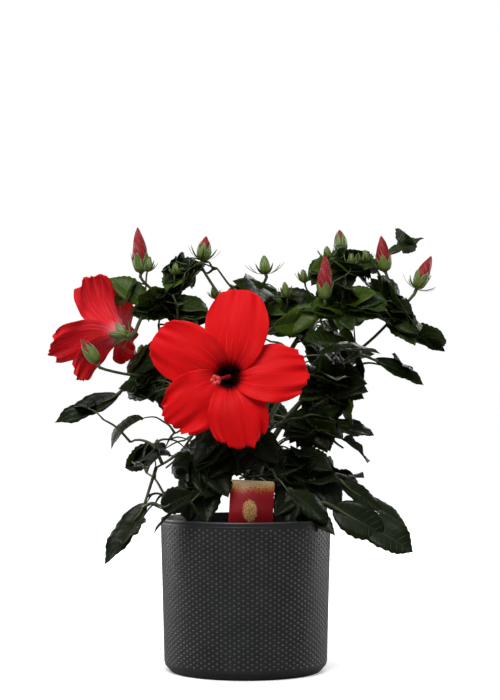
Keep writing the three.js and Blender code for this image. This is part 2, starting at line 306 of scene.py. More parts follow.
# %% Spin the pot
def spun(profile, turns):
    """Spins a chain of (radius, height) points about Z into a closed skin."""
    bm = bmesh.new()
    chain = [bm.verts.new((radius, 0, height)) for radius, height in profile]
    edges = [bm.edges.new(pair) for pair in zip(chain, chain[1:])]
    bmesh.ops.spin(
        bm, geom=chain + edges, cent=(0, 0, 0), axis=(0, 0, 1), angle=2 * math.pi, steps=turns, use_merge=True
    )
    bmesh.ops.remove_doubles(bm, verts=bm.verts, dist=1e-6)
    return bm


def arc(center, radius, start, end, steps):
    """Points of an arc in the (radius, height) plane, from one angle in degrees to another."""
    angles = np.radians(np.linspace(start, end, steps + 1))
    return [(center[0] + radius * math.cos(a), center[1] + radius * math.sin(a)) for a in angles]


def pot_profile():
    top, band, edge = POT["height"], POT["band"], 0.9 * MM
    rim, inside = POT["rim"], POT["rim"] - POT["wall"]
    low = POT["foot_height"]
    line = [(0, 1.2 * MM), (POT["foot"] - 5 * MM, 1.2 * MM), (POT["foot"] - 3.5 * MM, 0)]
    line += arc((POT["foot"] - 1 * MM, 1 * MM), 1 * MM, -90, -40, 3)
    line += [(POT["wall_foot"] - 0.8 * MM, low - 1.1 * MM), (POT["wall_foot"] - 0.1 * MM, low)]
    heights = [low + 1 * MM, *np.linspace(low + 2.2 * MM, top - band - 2 * MM, 8), top - band - 1.2 * MM]
    line += [(wall_radius(z), z) for z in [*heights, top - band - 0.6 * MM]]
    line += [(wall_radius(top - band) - POT["groove"], top - band - 0.3 * MM)]
    line += [(wall_radius(top - band), top - band + 0.1 * MM)]
    line += arc((rim - edge, top - edge), edge, 0, 90, 4)
    line += arc((inside + edge, top - edge), edge, 90, 180, 4)
    line += [(inside - 1.7 * MM, POT["floor"] + 12 * MM), (inside - 4 * MM, POT["floor"] + 3 * MM)]
    line += [(inside - 9 * MM, POT["floor"]), (0, POT["floor"])]
    return line


pot_mesh = finished(spun(pot_profile(), POT["turns"]), "pot_body")
pot_body = piece("pot_body", pot_mesh, [charcoal, highlight_glaze], ["pot"])
# The rim's top edge takes the paler stud glaze: a painted highlight line along the rim.
for face in pot_mesh.polygons:
    if face.center.z > POT["height"] - 0.8 * MM and face.center.xy.length > POT["rim"] - 3 * MM:
        face.material_index = 1
print("pot faces:", len(pot_body.data.polygons))

# %% [markdown]
# ## The studs
# A stud is a low dome with its foot sunk in the wall, so that no gap shows. The dome comes from a small
# circle that is extruded and scaled inwards twice, then closed.

# %% Make one stud and lay out the lattice
STUD = {"radius": 1.15 * MM, "height": 0.55 * MM, "sunk": 0.4 * MM, "sides": 8}
LATTICE = {"columns": 118, "step": 4.55 * MM, "first": 9.5 * MM, "last": 5.2 * MM}


def stud_template():
    """One dome, with X and Y on the wall and Z out of it."""
    bm = bmesh.new()
    bmesh.ops.create_circle(bm, cap_ends=True, segments=STUD["sides"], radius=STUD["radius"])
    bmesh.ops.translate(bm, verts=bm.verts, vec=(0, 0, -STUD["sunk"]))
    faces = bm.faces[:]
    for share, height in ((1.0, 0.0), (0.55, 0.9)):
        ring = bmesh.ops.extrude_face_region(bm, geom=faces)
        new = [v for v in ring["geom"] if isinstance(v, bmesh.types.BMVert)]
        if faces[0].is_valid and share < 1:
            bmesh.ops.delete(bm, geom=faces, context="FACES_ONLY")
        faces = [f for f in ring["geom"] if isinstance(f, bmesh.types.BMFace)]
        middle = sum((v.co for v in new), Vector()) / len(new)
        for v in new:
            flat = (v.co - middle).normalized() * STUD["radius"] * share
            v.co = Vector((flat.x, flat.y, STUD["height"] * height))
    bmesh.ops.recalc_face_normals(bm, faces=bm.faces)
    return template(bm)


def studs():
    points, faces = stud_template()
    heap = Heap()
    rows = int((POT["height"] - LATTICE["first"] - LATTICE["last"]) / LATTICE["step"]) + 1
    for column in range(LATTICE["columns"]):
        turn = 2 * math.pi * column / LATTICE["columns"]
        out = np.array([math.cos(turn), math.sin(turn), 0])
        side = np.array([-math.sin(turn), math.cos(turn), 0])
        for row in range(rows):
            z = LATTICE["first"] + LATTICE["step"] * (row + (column % 2) / 2)
            if z > POT["height"] - LATTICE["last"]:
                continue
            seat = out * wall_radius(z) + np.array([0, 0, z])
            dome = seat + points[:, :1] * side + points[:, 1:2] * array(UP) + points[:, 2:] * out
            heap.add(dome, faces, np.zeros((len(points), 2)))
    return heap


stud_heap = studs()
pot_studs = piece("pot_studs", stud_heap.mesh("pot_studs"), [highlight_glaze])
print("stud faces:", len(pot_studs.data.polygons))

# %% [markdown]
# ## The potting mix
# Peat and bark crumbs fill the pot to just under the rim. A disc spun from a short profile is pushed up and
# down by noise for the heaped surface, and loose crumbs are scattered on it, so that its edge never looks
# drawn.

# %% Spread the mix
mix_low, mix_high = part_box("potting_mix")
MIX = {"top": mix_high.z, "bottom": mix_low.z, "radius": max(mix_high.xy) - 0.2 * MM}
MIX |= {"swell": 1.6 * MM, "crumbs": 420}


def peat():
    soil = Finish("peat", Roughness=0.95)
    place = position_of(soil)
    clods = soil.noise(place, 260.0, 5.0, 0.7)
    stops = [(0.3, (0.004, 0.0028, 0.002)), (0.62, (0.022, 0.014, 0.009)), (0.8, (0.05, 0.033, 0.02))]
    soil.color(soil.ramp(clods, stops))
    soil.bump(clods, 0.0016)
    return soil


def mix_mesh():
    rings = np.linspace(0, 1, 34)
    profile = [(MIX["radius"] * r, MIX["top"] - 2 * MM * r) for r in rings]
    profile += [(MIX["radius"] - 4 * MM, MIX["bottom"] + 4 * MM)]
    profile += [(MIX["radius"] - 9 * MM, MIX["bottom"]), (0, MIX["bottom"])]
    bm = spun(profile, 120)
    for v in bm.verts:
        if v.co.z > MIX["bottom"] + 6 * MM and v.co.xy.length < MIX["radius"] * 0.99:
            v.co.z += MIX["swell"] * (noise.noise(v.co * 90) + 0.6 * noise.noise(v.co * 310) - 0.6)
    return finished(bm, "potting_mix_surface")


def crumbs():
    bm = bmesh.new()
    bmesh.ops.create_icosphere(bm, subdivisions=1, radius=1)
    points, faces = template(bm)
    rng, heap = random.Random("crumbs"), Heap()
    for _ in range(MIX["crumbs"]):
        far, turn = MIX["radius"] * 0.95 * math.sqrt(rng.random()), wave(rng)
        size = rng.uniform(0.8, 2.4) * MM
        stretch = np.array([rng.uniform(0.7, 1.9), rng.uniform(0.6, 1.1), rng.uniform(0.3, 0.6)]) * size
        rough = 1 + 0.25 * np.sin(points @ np.array([5.1, 3.7, 4.3]) + wave(rng))[:, None]
        spin = array(Matrix.Rotation(wave(rng), 3, "Z") @ Matrix.Rotation(rng.uniform(-0.5, 0.5), 3, "X"))
        seat = np.array([far * math.cos(turn), far * math.sin(turn), MIX["top"] - 2.1 * MM * far / MIX["radius"]])
        heap.add(points * rough * stretch @ spin.T + seat, faces, np.zeros((len(points), 2)))
    return heap.mesh("mix_crumbs")


soil = peat()
piece("potting_mix_surface", mix_mesh(), [soil], ["potting_mix"])
piece("mix_crumbs", crumbs(), [soil], smooth=False)

# %% [markdown]
# ## The plant label
# A stiff plastic card is pushed into the mix at the front. Its print fades from cream to red with speckles,
# and a plain pale oval stands for the picture. A cube scaled to the card and bevelled gives the rounded
# corners.

# %% Push in the label
card_low, card_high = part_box("plant_label")
CARD = {"corner": 2.2 * MM, "thick": 0.7 * MM}


def card_mesh():
    size = card_high - card_low
    bm = bmesh.new()
    bmesh.ops.create_cube(bm, size=1)
    bmesh.ops.scale(bm, verts=bm.verts, vec=(size.x - 3 * MM, CARD["thick"], size.z - 2 * MM))
    corners = [e for e in bm.edges if abs((e.verts[0].co - e.verts[1].co).normalized().y) > 0.9]
    bmesh.ops.bevel(bm, geom=corners, offset=CARD["corner"], segments=5, profile=0.5, affect="EDGES", material=-1)
    bmesh.ops.rotate(bm, verts=bm.verts, cent=(0, 0, 0), matrix=Matrix.Rotation(math.radians(3), 3, "Y"))
    bmesh.ops.translate(bm, verts=bm.verts, vec=(card_low + card_high) / 2)
    return finished(bm, "label_card")


def card_print():
    card = Finish("label_print", Roughness=0.35)
    split = card.tree.nodes.new("ShaderNodeSeparateXYZ")
    place = position_of(card)
    card.set(split, {"Vector": place})
    x, z = split.outputs[0], split.outputs[2]
    speckle = card.noise(place, 900.0, 2.0, 0.6)
    height = card.math("DIVIDE", card.math("SUBTRACT", z, card_high.z - 16 * MM), 16 * MM)
    level = card.math("ADD", height, card.math("MULTIPLY", card.math("SUBTRACT", speckle, 0.5), 1.3))
    cream, yellow = (0.85, 0.72, 0.42), (0.72, 0.42, 0.11)
    red, deep = (0.5, 0.014, 0.02), (0.38, 0.01, 0.018)
    ground = card.ramp(level, [(0.0, deep), (0.35, red), (0.62, yellow), (0.9, cream)])
    middle = (card_low.x + card_high.x) / 2 - 1 * MM
    dx = card.math("DIVIDE", card.math("SUBTRACT", x, middle), 6.5 * MM)
    dz = card.math("DIVIDE", card.math("SUBTRACT", z, card_high.z - 27 * MM), 10 * MM)
    away = card.math("ADD", card.math("MULTIPLY", dx, dx), card.math("MULTIPLY", dz, dz))
    edge = card.math("ADD", away, card.math("MULTIPLY", card.math("SUBTRACT", speckle, 0.5), 1.6))
    oval = card.ramp(edge, [(0.75, 1.0), (0.95, 0.0)])
    spots = card.ramp(card.noise(place, 1500.0, 1.0), [(0.47, (0.8, 0.55, 0.2)), (0.6, (0.5, 0.06, 0.03))])
    card.color(card.mix(oval, ground, spots))
    return card


piece("label_card", card_mesh(), [card_print()], ["plant_label"])

# %% [markdown]
# ## Wood: the stem and the boughs
# A young hibiscus stem is smooth and olive to grey-brown, with fine length-wise cracks and small pale
# pores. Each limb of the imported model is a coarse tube, so the middle of each of its rings gives a centre
# line, and a finer rod is bent along that line. Noise on the radius makes the relief. All the limbs become
# one piece, as they grow as one.

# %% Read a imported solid
FORK = array(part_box("main_stem")[1]) * np.array([0, 0, 1])


def solid(name):
    """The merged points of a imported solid, and a tree that answers nearest-point and ray questions."""
    bm = bmesh.new()
    bm.from_mesh(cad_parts[name].data)
    bmesh.ops.remove_doubles(bm, verts=bm.verts, dist=1e-6)
    points = np.array([v.co for v in bm.verts])
    tree = BVHTree.FromBMesh(bm)
    bm.free()
    return points, tree


def ring_middles(points, sides, start):
    """The middles and radii of a coarse tube's rings, from the end nearest to `start`."""
    order = np.argsort(np.linalg.norm(points - start, axis=1))
    chord = unit(points[order[-sides:]].mean(0) - points[order[:sides]].mean(0))
    height = np.sort(points @ chord)
    ranked = points[np.argsort(points @ chord)]
    breaks = np.flatnonzero(np.diff(height) > (height[-1] - height[0]) * 0.06) + 1
    groups = [group for group in np.split(ranked, breaks) if len(group) >= sides - 1]
    middles = np.array([group.mean(0) for group in groups])
    radii = np.array([np.linalg.norm(g - m, axis=1).mean() for g, m in zip(groups, middles)])
    return middles, radii


def smooth_line(knots, count):
    """A smooth curve through a few points, as `count` evenly spaced ones."""
    knots = np.array(knots, float)
    padded = np.vstack([2 * knots[0] - knots[1], knots, 2 * knots[-1] - knots[-2]])
    t = np.linspace(0, 1, 14, endpoint=False)[:, None]
    parts = [
        0.5 * (2 * b + (c - a) * t + (2 * a - 5 * b + 4 * c - d) * t**2 + (3 * b - a - 3 * c + d) * t**3)
        for a, b, c, d in zip(padded, padded[1:], padded[2:], padded[3:])
    ]
    samples = np.vstack(parts + [knots[-1:]])
    far = np.concatenate([[0], np.cumsum(np.linalg.norm(np.diff(samples, axis=0), axis=1))])
    at = np.linspace(0, far[-1], count)
    return np.stack([np.interp(at, far, samples[:, i]) for i in range(3)], 1)


def carried_frames(line):
    """The direction of a line at each point, and two directions across it that turn as little as possible."""
    along = np.gradient(line, axis=0)
    along /= np.linalg.norm(along, axis=1)[:, None]
    side = unit(np.cross(along[0], [0.3, 0.5, 0.81]))
    sides = []
    for direction in along:
        side = unit(side - direction * (side @ direction))
        sides.append(side)
    sides = np.array(sides)
    return along, sides, np.cross(along, sides)


def bent_rod(rod, knots, radius):
    """Bends a rod template along a smooth line. `radius` is a function of share along and angle, as arrays."""
    points, _ = rod
    angle, t = points[:, 0], points[:, 1]
    rings = len(np.unique(t))
    line = smooth_line(knots, rings)
    _, side, other = carried_frames(line)
    index = np.round(t * (rings - 1)).astype(int)
    size = (radius(t, angle) * np.ones(len(t)))[:, None]
    bent = line[index] + size * (np.cos(angle)[:, None] * side[index] + np.sin(angle)[:, None] * other[index])
    return bent, np.stack([angle / (2 * math.pi) + 0.5, t], 1)


# %% Grow the stem and boughs
BARK = {"sides": 18, "rings": 46, "ridge": 0.05, "knot": 0.12}
BOUGHS = sorted(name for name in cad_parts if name.startswith("bough_"))
LIMB_SIDES = {"main_stem": 8, "bough": 5}
bark_rod = rod_template(BARK["sides"], BARK["rings"])
wood = Heap()
skeleton = {}


def grow_limb(name, sides, start):
    points, _ = solid(name)
    middles, radii = ring_middles(points, sides, start)
    print(name, len(points), "points,", len(middles), "rings, radii in mm:", (radii / MM).round(1))
    rng = random.Random(name)
    phase = wave(rng)
    skeleton[name] = smooth_line(middles, 40)

    def radius(t, angle):
        base = np.interp(t, np.linspace(0, 1, len(radii)), radii)
        cracks = np.sin(angle * 5 + phase + 4 * t) * np.sin(angle * 3 - phase + 21 * t)
        knots = np.exp(-(((t * 7 + phase) % 1 - 0.5) ** 2) * 60) * np.maximum(0, np.cos(angle - phase * 3 * t))
        return base * (1 + BARK["ridge"] * cracks + BARK["knot"] * knots)

    bent, uvs = bent_rod(bark_rod, middles, radius)
    wood.add(bent, bark_rod[1], uvs)


grow_limb("main_stem", LIMB_SIDES["main_stem"], np.zeros(3))
for bough in BOUGHS:
    grow_limb(bough, LIMB_SIDES["bough"], FORK)


def bark_finish():
    bark = Finish("young_bark", Roughness=0.7)
    place = position_of(bark)
    split = bark.tree.nodes.new("ShaderNodeSeparateXYZ")
    bark.set(split, {"Vector": place})
    up = bark.math("DIVIDE", bark.math("SUBTRACT", split.outputs[2], FORK[2] - 50 * MM), 150 * MM)
    stretched = bark.add("Mapping", {"Vector": place, "Scale": (1, 1, 0.22)})
    streaks = bark.noise(stretched, 900.0, 4.0, 0.7)
    level = bark.math("ADD", up, bark.math("MULTIPLY", bark.math("SUBTRACT", streaks, 0.5), 0.9))
    brown, grey, olive = (0.045, 0.03, 0.018), (0.085, 0.066, 0.042), (0.05, 0.07, 0.02)
    ground = bark.ramp(level, [(0.0, brown), (0.4, grey), (0.85, olive)])
    pores = bark.ramp(bark.noise(place, 700.0, 1.0), [(0.66, 0.0), (0.72, 1.0)])
    bark.color(bark.mix(pores, ground, rgba((0.16, 0.13, 0.085))))
    bark.bump(streaks, 0.0007)
    return bark


stem_and_boughs = piece(
    "stem_and_boughs", wood.mesh("stem_and_boughs"), [bark_finish()], ["main_stem", *BOUGHS]
)
print("limbs:", len(skeleton), "faces:", len(stem_and_boughs.data.polygons))

# %% [markdown]
# ## One leaf
# A hibiscus leaf is a glossy, pointed oval with a saw-toothed edge. Its midrib is sunk, side veins run out
# and forwards from it, and the blade puffs up a little between them. The blade template is a grid whose
# rows become those side veins: even rows lie in a vein and end in a tooth, and odd rows stand up between
# them. The blade is then folded along the midrib, waved at the edge, curved down towards the tip and laid
# between its foot and its tip.

# %% Shape of a leaf
LEAF = {"rows": 18, "columns": 6, "thick": 0.3 * MM, "tooth": 0.055, "slant": 0.14, "puff": 0.01}
leaf_template = blade_template(LEAF["columns"], LEAF["rows"])
leaf_on_top = [all(leaf_template[0][i, 2] > -0.5 for i in face) for face in leaf_template[1]]
print("leaf faces:", len(leaf_template[1]))


def leaf_width(t):
    """The half width of a leaf along its length, as a share of the widest place."""
    outline = np.maximum(t, 0) ** 0.7 * np.maximum(1 - t, 0) ** 1.25
    return outline / (0.359**0.7 * 0.641**1.25)


def leaf_points(length, width, fold, droop, twist, rng):
    """One leaf along +Y from the origin to (0, length, 0), its top towards +Z."""
    s, t, side = leaf_template[0].T
    even = np.round(t * LEAF["rows"]) % 2 == 0
    margin = np.abs(s) > 0.99
    teeth = np.where(margin & (t > 0.12) & (t < 0.99), np.where(even, LEAF["tooth"], -LEAF["tooth"] * 0.5), 0)
    half = width / 2 * leaf_width(t)
    skew = 1 + rng.uniform(-0.08, 0.08) * s
    x = s * half * skew * (1 + teeth)
    y = t + LEAF["slant"] * np.abs(s) ** 1.2 * np.sin(math.pi * t) + teeth * 0.16 * (1 - t)
    puff = np.where(even, -0.5, 1.0) * length * LEAF["puff"] * np.sin(math.pi * np.abs(s)) * np.sin(math.pi * t)
    edge = length * rng.uniform(0.01, 0.035) * np.sin(wave(rng) + 2 * math.pi * rng.uniform(1.6, 2.6) * t + s)
    z = fold * np.abs(x) - 0.35 * fold * x**2 / (width / 2) + puff + edge * np.abs(s) ** 2.5 * np.sin(math.pi * t)
    z -= np.where(np.abs(s) < 0.01, 0.012 * length * np.sin(math.pi * t), 0)
    z += side * LEAF["thick"]
    turn = twist * (t - 0.3)
    x, z = x * np.cos(turn) - z * np.sin(turn), x * np.sin(turn) + z * np.cos(turn)
    droop = droop if abs(droop) > 0.02 else 0.02
    ring = 1 / droop
    bend = droop * y
    arc_y, arc_z = ring * np.sin(bend), ring * (np.cos(bend) - 1)
    scale = length / (2 * ring * math.sin(droop / 2))
    arc_y, arc_z = arc_y * scale + z * np.sin(bend), arc_z * scale + z * np.cos(bend)
    level = droop / 2
    y, z = arc_y * math.cos(level) - arc_z * math.sin(level), arc_y * math.sin(level) + arc_z * math.cos(level)
    return np.stack([x, y, z], 1)


# %% [markdown]
# ## Colours of the foliage
# Leaves on one plant differ with age: old inner leaves are deep blue-green, the youngest are bright. The greens are
# also dealt by height and by mass, brighter in the crown and darker low down, which is partly painted light on the
# crown and painted shade on the lower leaves. Each spray of leaves is dealt one of a few plain greens, with its own
# paler underside. Veins follow the blade's own UV map, where one number runs across the blade and the other along
# it, so they stay on the leaf however it is bent.

# %% Greens and veins
GREENS = {
    "deep": ((0.0048, 0.0092, 0.0012), (0.016, 0.027, 0.005)),
    "mid": ((0.0125, 0.0245, 0.002), (0.026, 0.044, 0.007)),
    "bright": ((0.034, 0.064, 0.0045), (0.05, 0.082, 0.01)),
    "cool": ((0.008, 0.013, 0.0035), (0.021, 0.033, 0.01)),
}
TONES = list(GREENS)


def leaf_finish(name, color, under):
    leaf = Finish(name, Roughness=0.36, Specular_IOR_Level=0.13, Coat_Weight=0.02, Coat_Roughness=0.2)
    across, along, uv = across_and_along(leaf)
    off = leaf.math("ABSOLUTE", leaf.math("SUBTRACT", across, 0.5))
    midrib = leaf.ramp(off, [(0.0, 1.0), (0.028, 0.75), (0.05, 0.0)])
    rung = leaf.math("FRACT", leaf.math("MULTIPLY", along, LEAF["rows"] / 2))
    near = leaf.math("ABSOLUTE", leaf.math("SUBTRACT", rung, 0.5))
    lateral = leaf.ramp(near, [(0.425, 0.0), (0.485, 1.0)])
    cells = leaf.add("TexVoronoi", {"Vector": uv, "Scale": 26.0}, feature="DISTANCE_TO_EDGE")
    fine = leaf.ramp(cells, [(0.0, 1.0), (0.09, 0.0)])
    veins = leaf.math("MAXIMUM", midrib, leaf.math("MULTIPLY", lateral, 0.55))
    cloud = leaf.noise(position_of(leaf), 55.0, 3.0)
    dark, light = rgba(color, 0.75), rgba(color, 1.3)
    ground = leaf.mix(leaf.ramp(cloud, [(0.3, 0.0), (0.7, 1.0)]), dark, light)
    pale = tuple(min(1, c * (1.5 if under else 2.2) + 0.014) for c in color)
    strength = leaf.math("MULTIPLY", veins, 0.6)
    tinted = leaf.mix(leaf.math("MULTIPLY", fine, 0.07), ground, rgba(pale))
    leaf.color(leaf.mix(strength, tinted, rgba(pale)))
    raised = leaf.math("MULTIPLY", veins, 1.0 if under else -1.0)
    height = leaf.math("ADD", raised, leaf.math("MULTIPLY", fine, -0.07))
    leaf.bump(height, 0.0005, 0.8)
    return leaf


leaf_finishes = [leaf_finish(f"leaf_{tone}", GREENS[tone][0], False) for tone in TONES]
leaf_finishes += [leaf_finish(f"leaf_{tone}_under", GREENS[tone][1], True) for tone in TONES]


def stalk_finish():
    stalk = Finish("green_stalk", Roughness=0.5)
    cloud = stalk.noise(position_of(stalk), 160.0, 3.0)
    stops = [(0.3, (0.018, 0.03, 0.007)), (0.65, (0.045, 0.066, 0.014)), (0.85, (0.06, 0.05, 0.018))]
    stalk.color(stalk.ramp(cloud, stops))
    stalk.bump(cloud, 0.0003)
    return stalk


stalk_green = stalk_finish()

# %% [markdown]
# ## Leaves that grow on from the boughs
# Each packed mass says where a leafy shoot is. Twigs grow to the masses nearest the boughs first, and a
# further mass may start from such a twig, so that everything is joined to the plant. Each leaf then gets a
# stalk from the nearest wood that suits it, and where the wood is too far for a stalk, a side twig grows
# first and carries the leaf.

# %% Twigs and leaf stalks
twig_rod = rod_template(7, 9)
petiole_rod = rod_template(6, 6)
twigs = Heap()
GOLDEN = math.pi * (3 - math.sqrt(5))
LONGEST_STALK = 26 * MM
woods = np.vstack([line[8:] for line in skeleton.values()])


def nearest_wood(points, woods):
    """The gap between a group of points and the wood that has grown so far, and the nearest wood point."""
    gaps = np.linalg.norm(points[:, None] - woods[None], axis=2)
    i, j = np.unravel_index(np.argmin(gaps), gaps.shape)
    return gaps[i, j], woods[j]


def grow_twig(knots, thick, thin):
    bent, uvs = bent_rod(twig_rod, knots, lambda t, angle: thick + (thin - thick) * t)
    twigs.add(bent, twig_rod[1], uvs)


def add_leaf(heap, base, tip, normal, tone, rng, width=0.5, fold=0.3, droop=0.4, twist=None):
    """A leaf from its foot to its tip, with its top facing about along `normal`."""
    base, tip = array(base), array(tip)
    length = np.linalg.norm(tip - base)
    along = (tip - base) / length
    across = unit(np.cross(along, normal))
    facing = np.cross(across, along)
    twist = rng.uniform(-0.4, 0.4) if twist is None else twist
    local = leaf_points(length, length * width, fold, droop, twist, rng)
    world = base + local[:, :1] * across + local[:, 1:2] * along + local[:, 2:] * facing
    slots = [TONES.index(tone) + (0 if top else len(TONES)) for top in leaf_on_top]
    s, t, _ = leaf_template[0].T
    heap.add(world, leaf_template[1], np.stack([(s + 1) / 2, t], 1), slots)


def add_petiole(base, along):
    """The leaf's stalk, to the foot of its blade. Far from the wood, a side twig grows first and carries it."""
    global woods
    base, along = array(base), unit(along)
    gap = np.maximum(np.linalg.norm(woods - base, axis=1), 1e-6)
    ahead = np.maximum(0, ((woods - base) / gap[:, None]) @ along + 0.7)
    above = np.maximum(0, woods[:, 2] - base[2])
    start = woods[np.argmin(gap + 30 * MM * ahead + 0.5 * above)]
    far = np.linalg.norm(base - start)
    if far > LONGEST_STALK:
        stop = base + (start - base) * 0.6 * LONGEST_STALK / far - along * 0.2 * LONGEST_STALK
        sag = -0.12 if base[2] > 0.3 else 0.06
        knots = [start, (start + stop) / 2 + array(UP) * sag * far, stop]
        grow_twig(knots, 1.25 * MM, 0.85 * MM)
        woods = np.vstack([woods, smooth_line(knots, 10)[3:]])
        start, far = stop, np.linalg.norm(base - stop)
    middle = (start + base) / 2 - along * 0.1 * far + array(UP) * (0.08 if base[2] < 0.3 else -0.08) * far
    knots = [start, middle, base, base + along * 3 * MM]
    bent, uvs = bent_rod(petiole_rod, knots, lambda t, angle: (0.75 + 6 * far) * MM * (1.1 - 0.5 * t))
    twigs.add(bent, petiole_rod[1], uvs)


# %% Grow a twig into each mass, nearest masses first
MASSES = sorted(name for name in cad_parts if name.startswith(("clump_", "spray_")))
mass_shapes = {name: solid(name) for name in MASSES}
ends = {}
waiting = list(MASSES)
while waiting:
    found = {name: nearest_wood(mass_shapes[name][0], woods) for name in waiting}
    name = min(waiting, key=lambda n: (found[n][0], n))
    waiting.remove(name)
    root, points = found[name][1], mass_shapes[name][0]
    entry = points[np.argmin(np.linalg.norm(points - root, axis=1))]
    far = points[np.argmax(np.linalg.norm(points - entry, axis=1))]
    reach = 0.35 if name.startswith("spray_") else 0.7
    middle = entry + (far - entry) * reach * 0.5
    arch = array(UP) * (2 * MM + (0.15 * np.linalg.norm(entry - root) if entry[2] < 0.2 else 0))
    knots = [root, root * 0.4 + entry * 0.6 + arch, middle, entry + (far - entry) * reach]
    grow_twig(knots, 1.7 * MM, 0.9 * MM)
    ends[name] = (entry, far)
    woods = np.vstack([woods, smooth_line(knots, 16)])
print("shoots:", len(ends))

# %% [markdown]
# ## The crown's leaves
# Each leaf that gives the plant its outline could be told one by one, as a long list of feet and tips. The
# packed masses already hold that outline, so each mass leads its own leaves instead. A spray is a leaf or
# two in one plane: its main leaf runs along it, from near where its twig enters to its far end, about as
# wide as the spray, and a long spray has a second one further in. A clump is a shoot with leaves all round,
# so it sends one to each of a few points of its surface that stand furthest out to someone in front. Chance
# fills the rest, inside the same outline.

# %% Greens and the outline
# Greens by height: brighter in the crown and darker low down, partly painted light and painted shade.
TONE_MIX = {
    "crown": ["mid", "deep", "mid", "deep", "bright"],
    "body": ["deep", "deep", "mid"],
    "low": ["cool", "deep", "deep"],
}
LEAF_LENGTH = (42 * MM, 60 * MM)
BACK = [name for name in MASSES if "back" in name]


def tone_for(height, rng):
    level = "crown" if height > 0.31 else "body" if height > 0.2 else "low"
    return rng.choice(TONE_MIX[level])


def outward(point):
    """The level direction away from the middle of the plant."""
    return unit([point[0], point[1] - 0.005, 0])


crown_trees = [tree for _, tree in mass_shapes.values()]
crown_trees += [solid(name)[1] for name in ("bloom_front", "bloom_left")]
label_tree, pot_tree = solid("plant_label")[1], solid("pot")[1]
EYE = Vector((0, -1.75, 0.25))
# How far leaves may hang down over the rim of the pot.
RIM_COVER = 12 * MM
# Gaps where the crown stays open to someone in front: place across, height and radius in millimetres.
GAPS = [
    (-51, 367, 12), (-78, 345, 6), (-55, 334, 8), (-48, 328, 9), (-92, 324, 6),
    (-73, 311, 9), (-94, 310, 7), (-88, 266, 6), (-103, 259, 9), (-74, 230, 9),
    (-86, 203, 7), (-103, 196, 9), (-76, 170, 15), (-103, 168, 10), (-21, 352, 13),
    (-2, 362, 8), (61, 300, 7), (138, 339, 10), (112, 320, 6), (118, 303, 8),
    (141, 295, 8), (106, 267, 12), (88, 184, 13), (93, 159, 9),
]


def fits_the_view(point):
    """Whether someone in front sees a point inside the crown or over the rim, off the label and in no gap."""
    ray = (Vector(point) - EYE).normalized()
    level = EYE - ray * EYE.y / ray.y
    if any(math.hypot(level.x - x * MM, level.z - z * MM) < radius * MM for x, z, radius in GAPS):
        return False
    if label_tree.ray_cast(EYE, ray)[0] is not None:
        return False
    if level.z > POT["height"] - RIM_COVER and pot_tree.ray_cast(EYE, ray)[0] is not None:
        return True
    return any(tree.ray_cast(EYE, ray)[0] is not None for tree in crown_trees)


# %% Leading leaves, worked out from each mass
# The leading leaves of these masses get only the brighter greens: painted light where the light falls on the crown.
SUNLIT = ["clump_right_crown", "spray_middle_crown", "spray_left_crown"]
STEP_BACK = 8 * MM
# Where the leaves of a spray start and end, as shares of its length.
SPRAY = {"long": 72 * MM, "one_leaf": [(0.08, 1.0)], "two_leaves": [(0.34, 1.0), (0.0, 0.66)], "cover": 0.8}
SPRAY_WIDTH = (0.34, 0.7)
# A clump counts as low by its middle. How far its leaves hang, by height, and their shortest and longest blades.
CLUMP = {"ways": 13, "low": 200 * MM, "hang_low": 34 * MM, "hang": 8 * MM, "inset": 0.03, "stretch": 1.2}
CLUMP_LENGTH = (42 * MM, 64 * MM)


def across_the_view(points, angle):
    """How far each point stands out in one direction of the front view."""
    return points[:, 0] * math.cos(angle) + points[:, 2] * math.sin(angle)


def leading_leaf(name, heap, rng, foot, tip, width, droop):
    """A leaf that faces the front, if the outline has room for it. Gives the number of leaves made."""
    if not all(fits_the_view(place) for place in [foot * 0.5 + tip * 0.5, tip * 0.92 + foot * 0.08]):
        return 0
    normal = array([0, -0.8, 0.55]) + [rng.uniform(-0.35, 0.35) for _ in range(3)]
    tone = rng.choice(["bright", "mid"]) if name in SUNLIT else tone_for(tip[2], rng)
    add_petiole(foot, unit(tip - foot))
    fold = rng.uniform(0.2, 0.4)
    add_leaf(heap, foot, tip, normal, tone, rng, width, fold, droop, rng.uniform(-0.25, 0.25))
    return 1


def lead_spray(name, heap, rng):
    """One leaf along a short spray, or two along a long one, about as wide as the spray."""
    points, (entry, far) = mass_shapes[name][0], ends[name]
    lean = math.atan2(far[2] - entry[2], far[0] - entry[0])
    wide = np.ptp(across_the_view(points, lean + math.pi / 2))
    short = np.linalg.norm(far - entry) < SPRAY["long"]
    led = 0
    for start, end in SPRAY["one_leaf"] if short else SPRAY["two_leaves"]:
        foot, tip = entry + (far - entry) * start, entry + (far - entry) * end
        foot = foot + array([0, STEP_BACK * 0.5, 0])
        share = SPRAY["cover"] * wide / np.linalg.norm(tip - foot)
        width = min(SPRAY_WIDTH[1], max(SPRAY_WIDTH[0], share))
        led += leading_leaf(name, heap, rng, foot, tip, width, rng.uniform(0.05, 0.6))
    return led


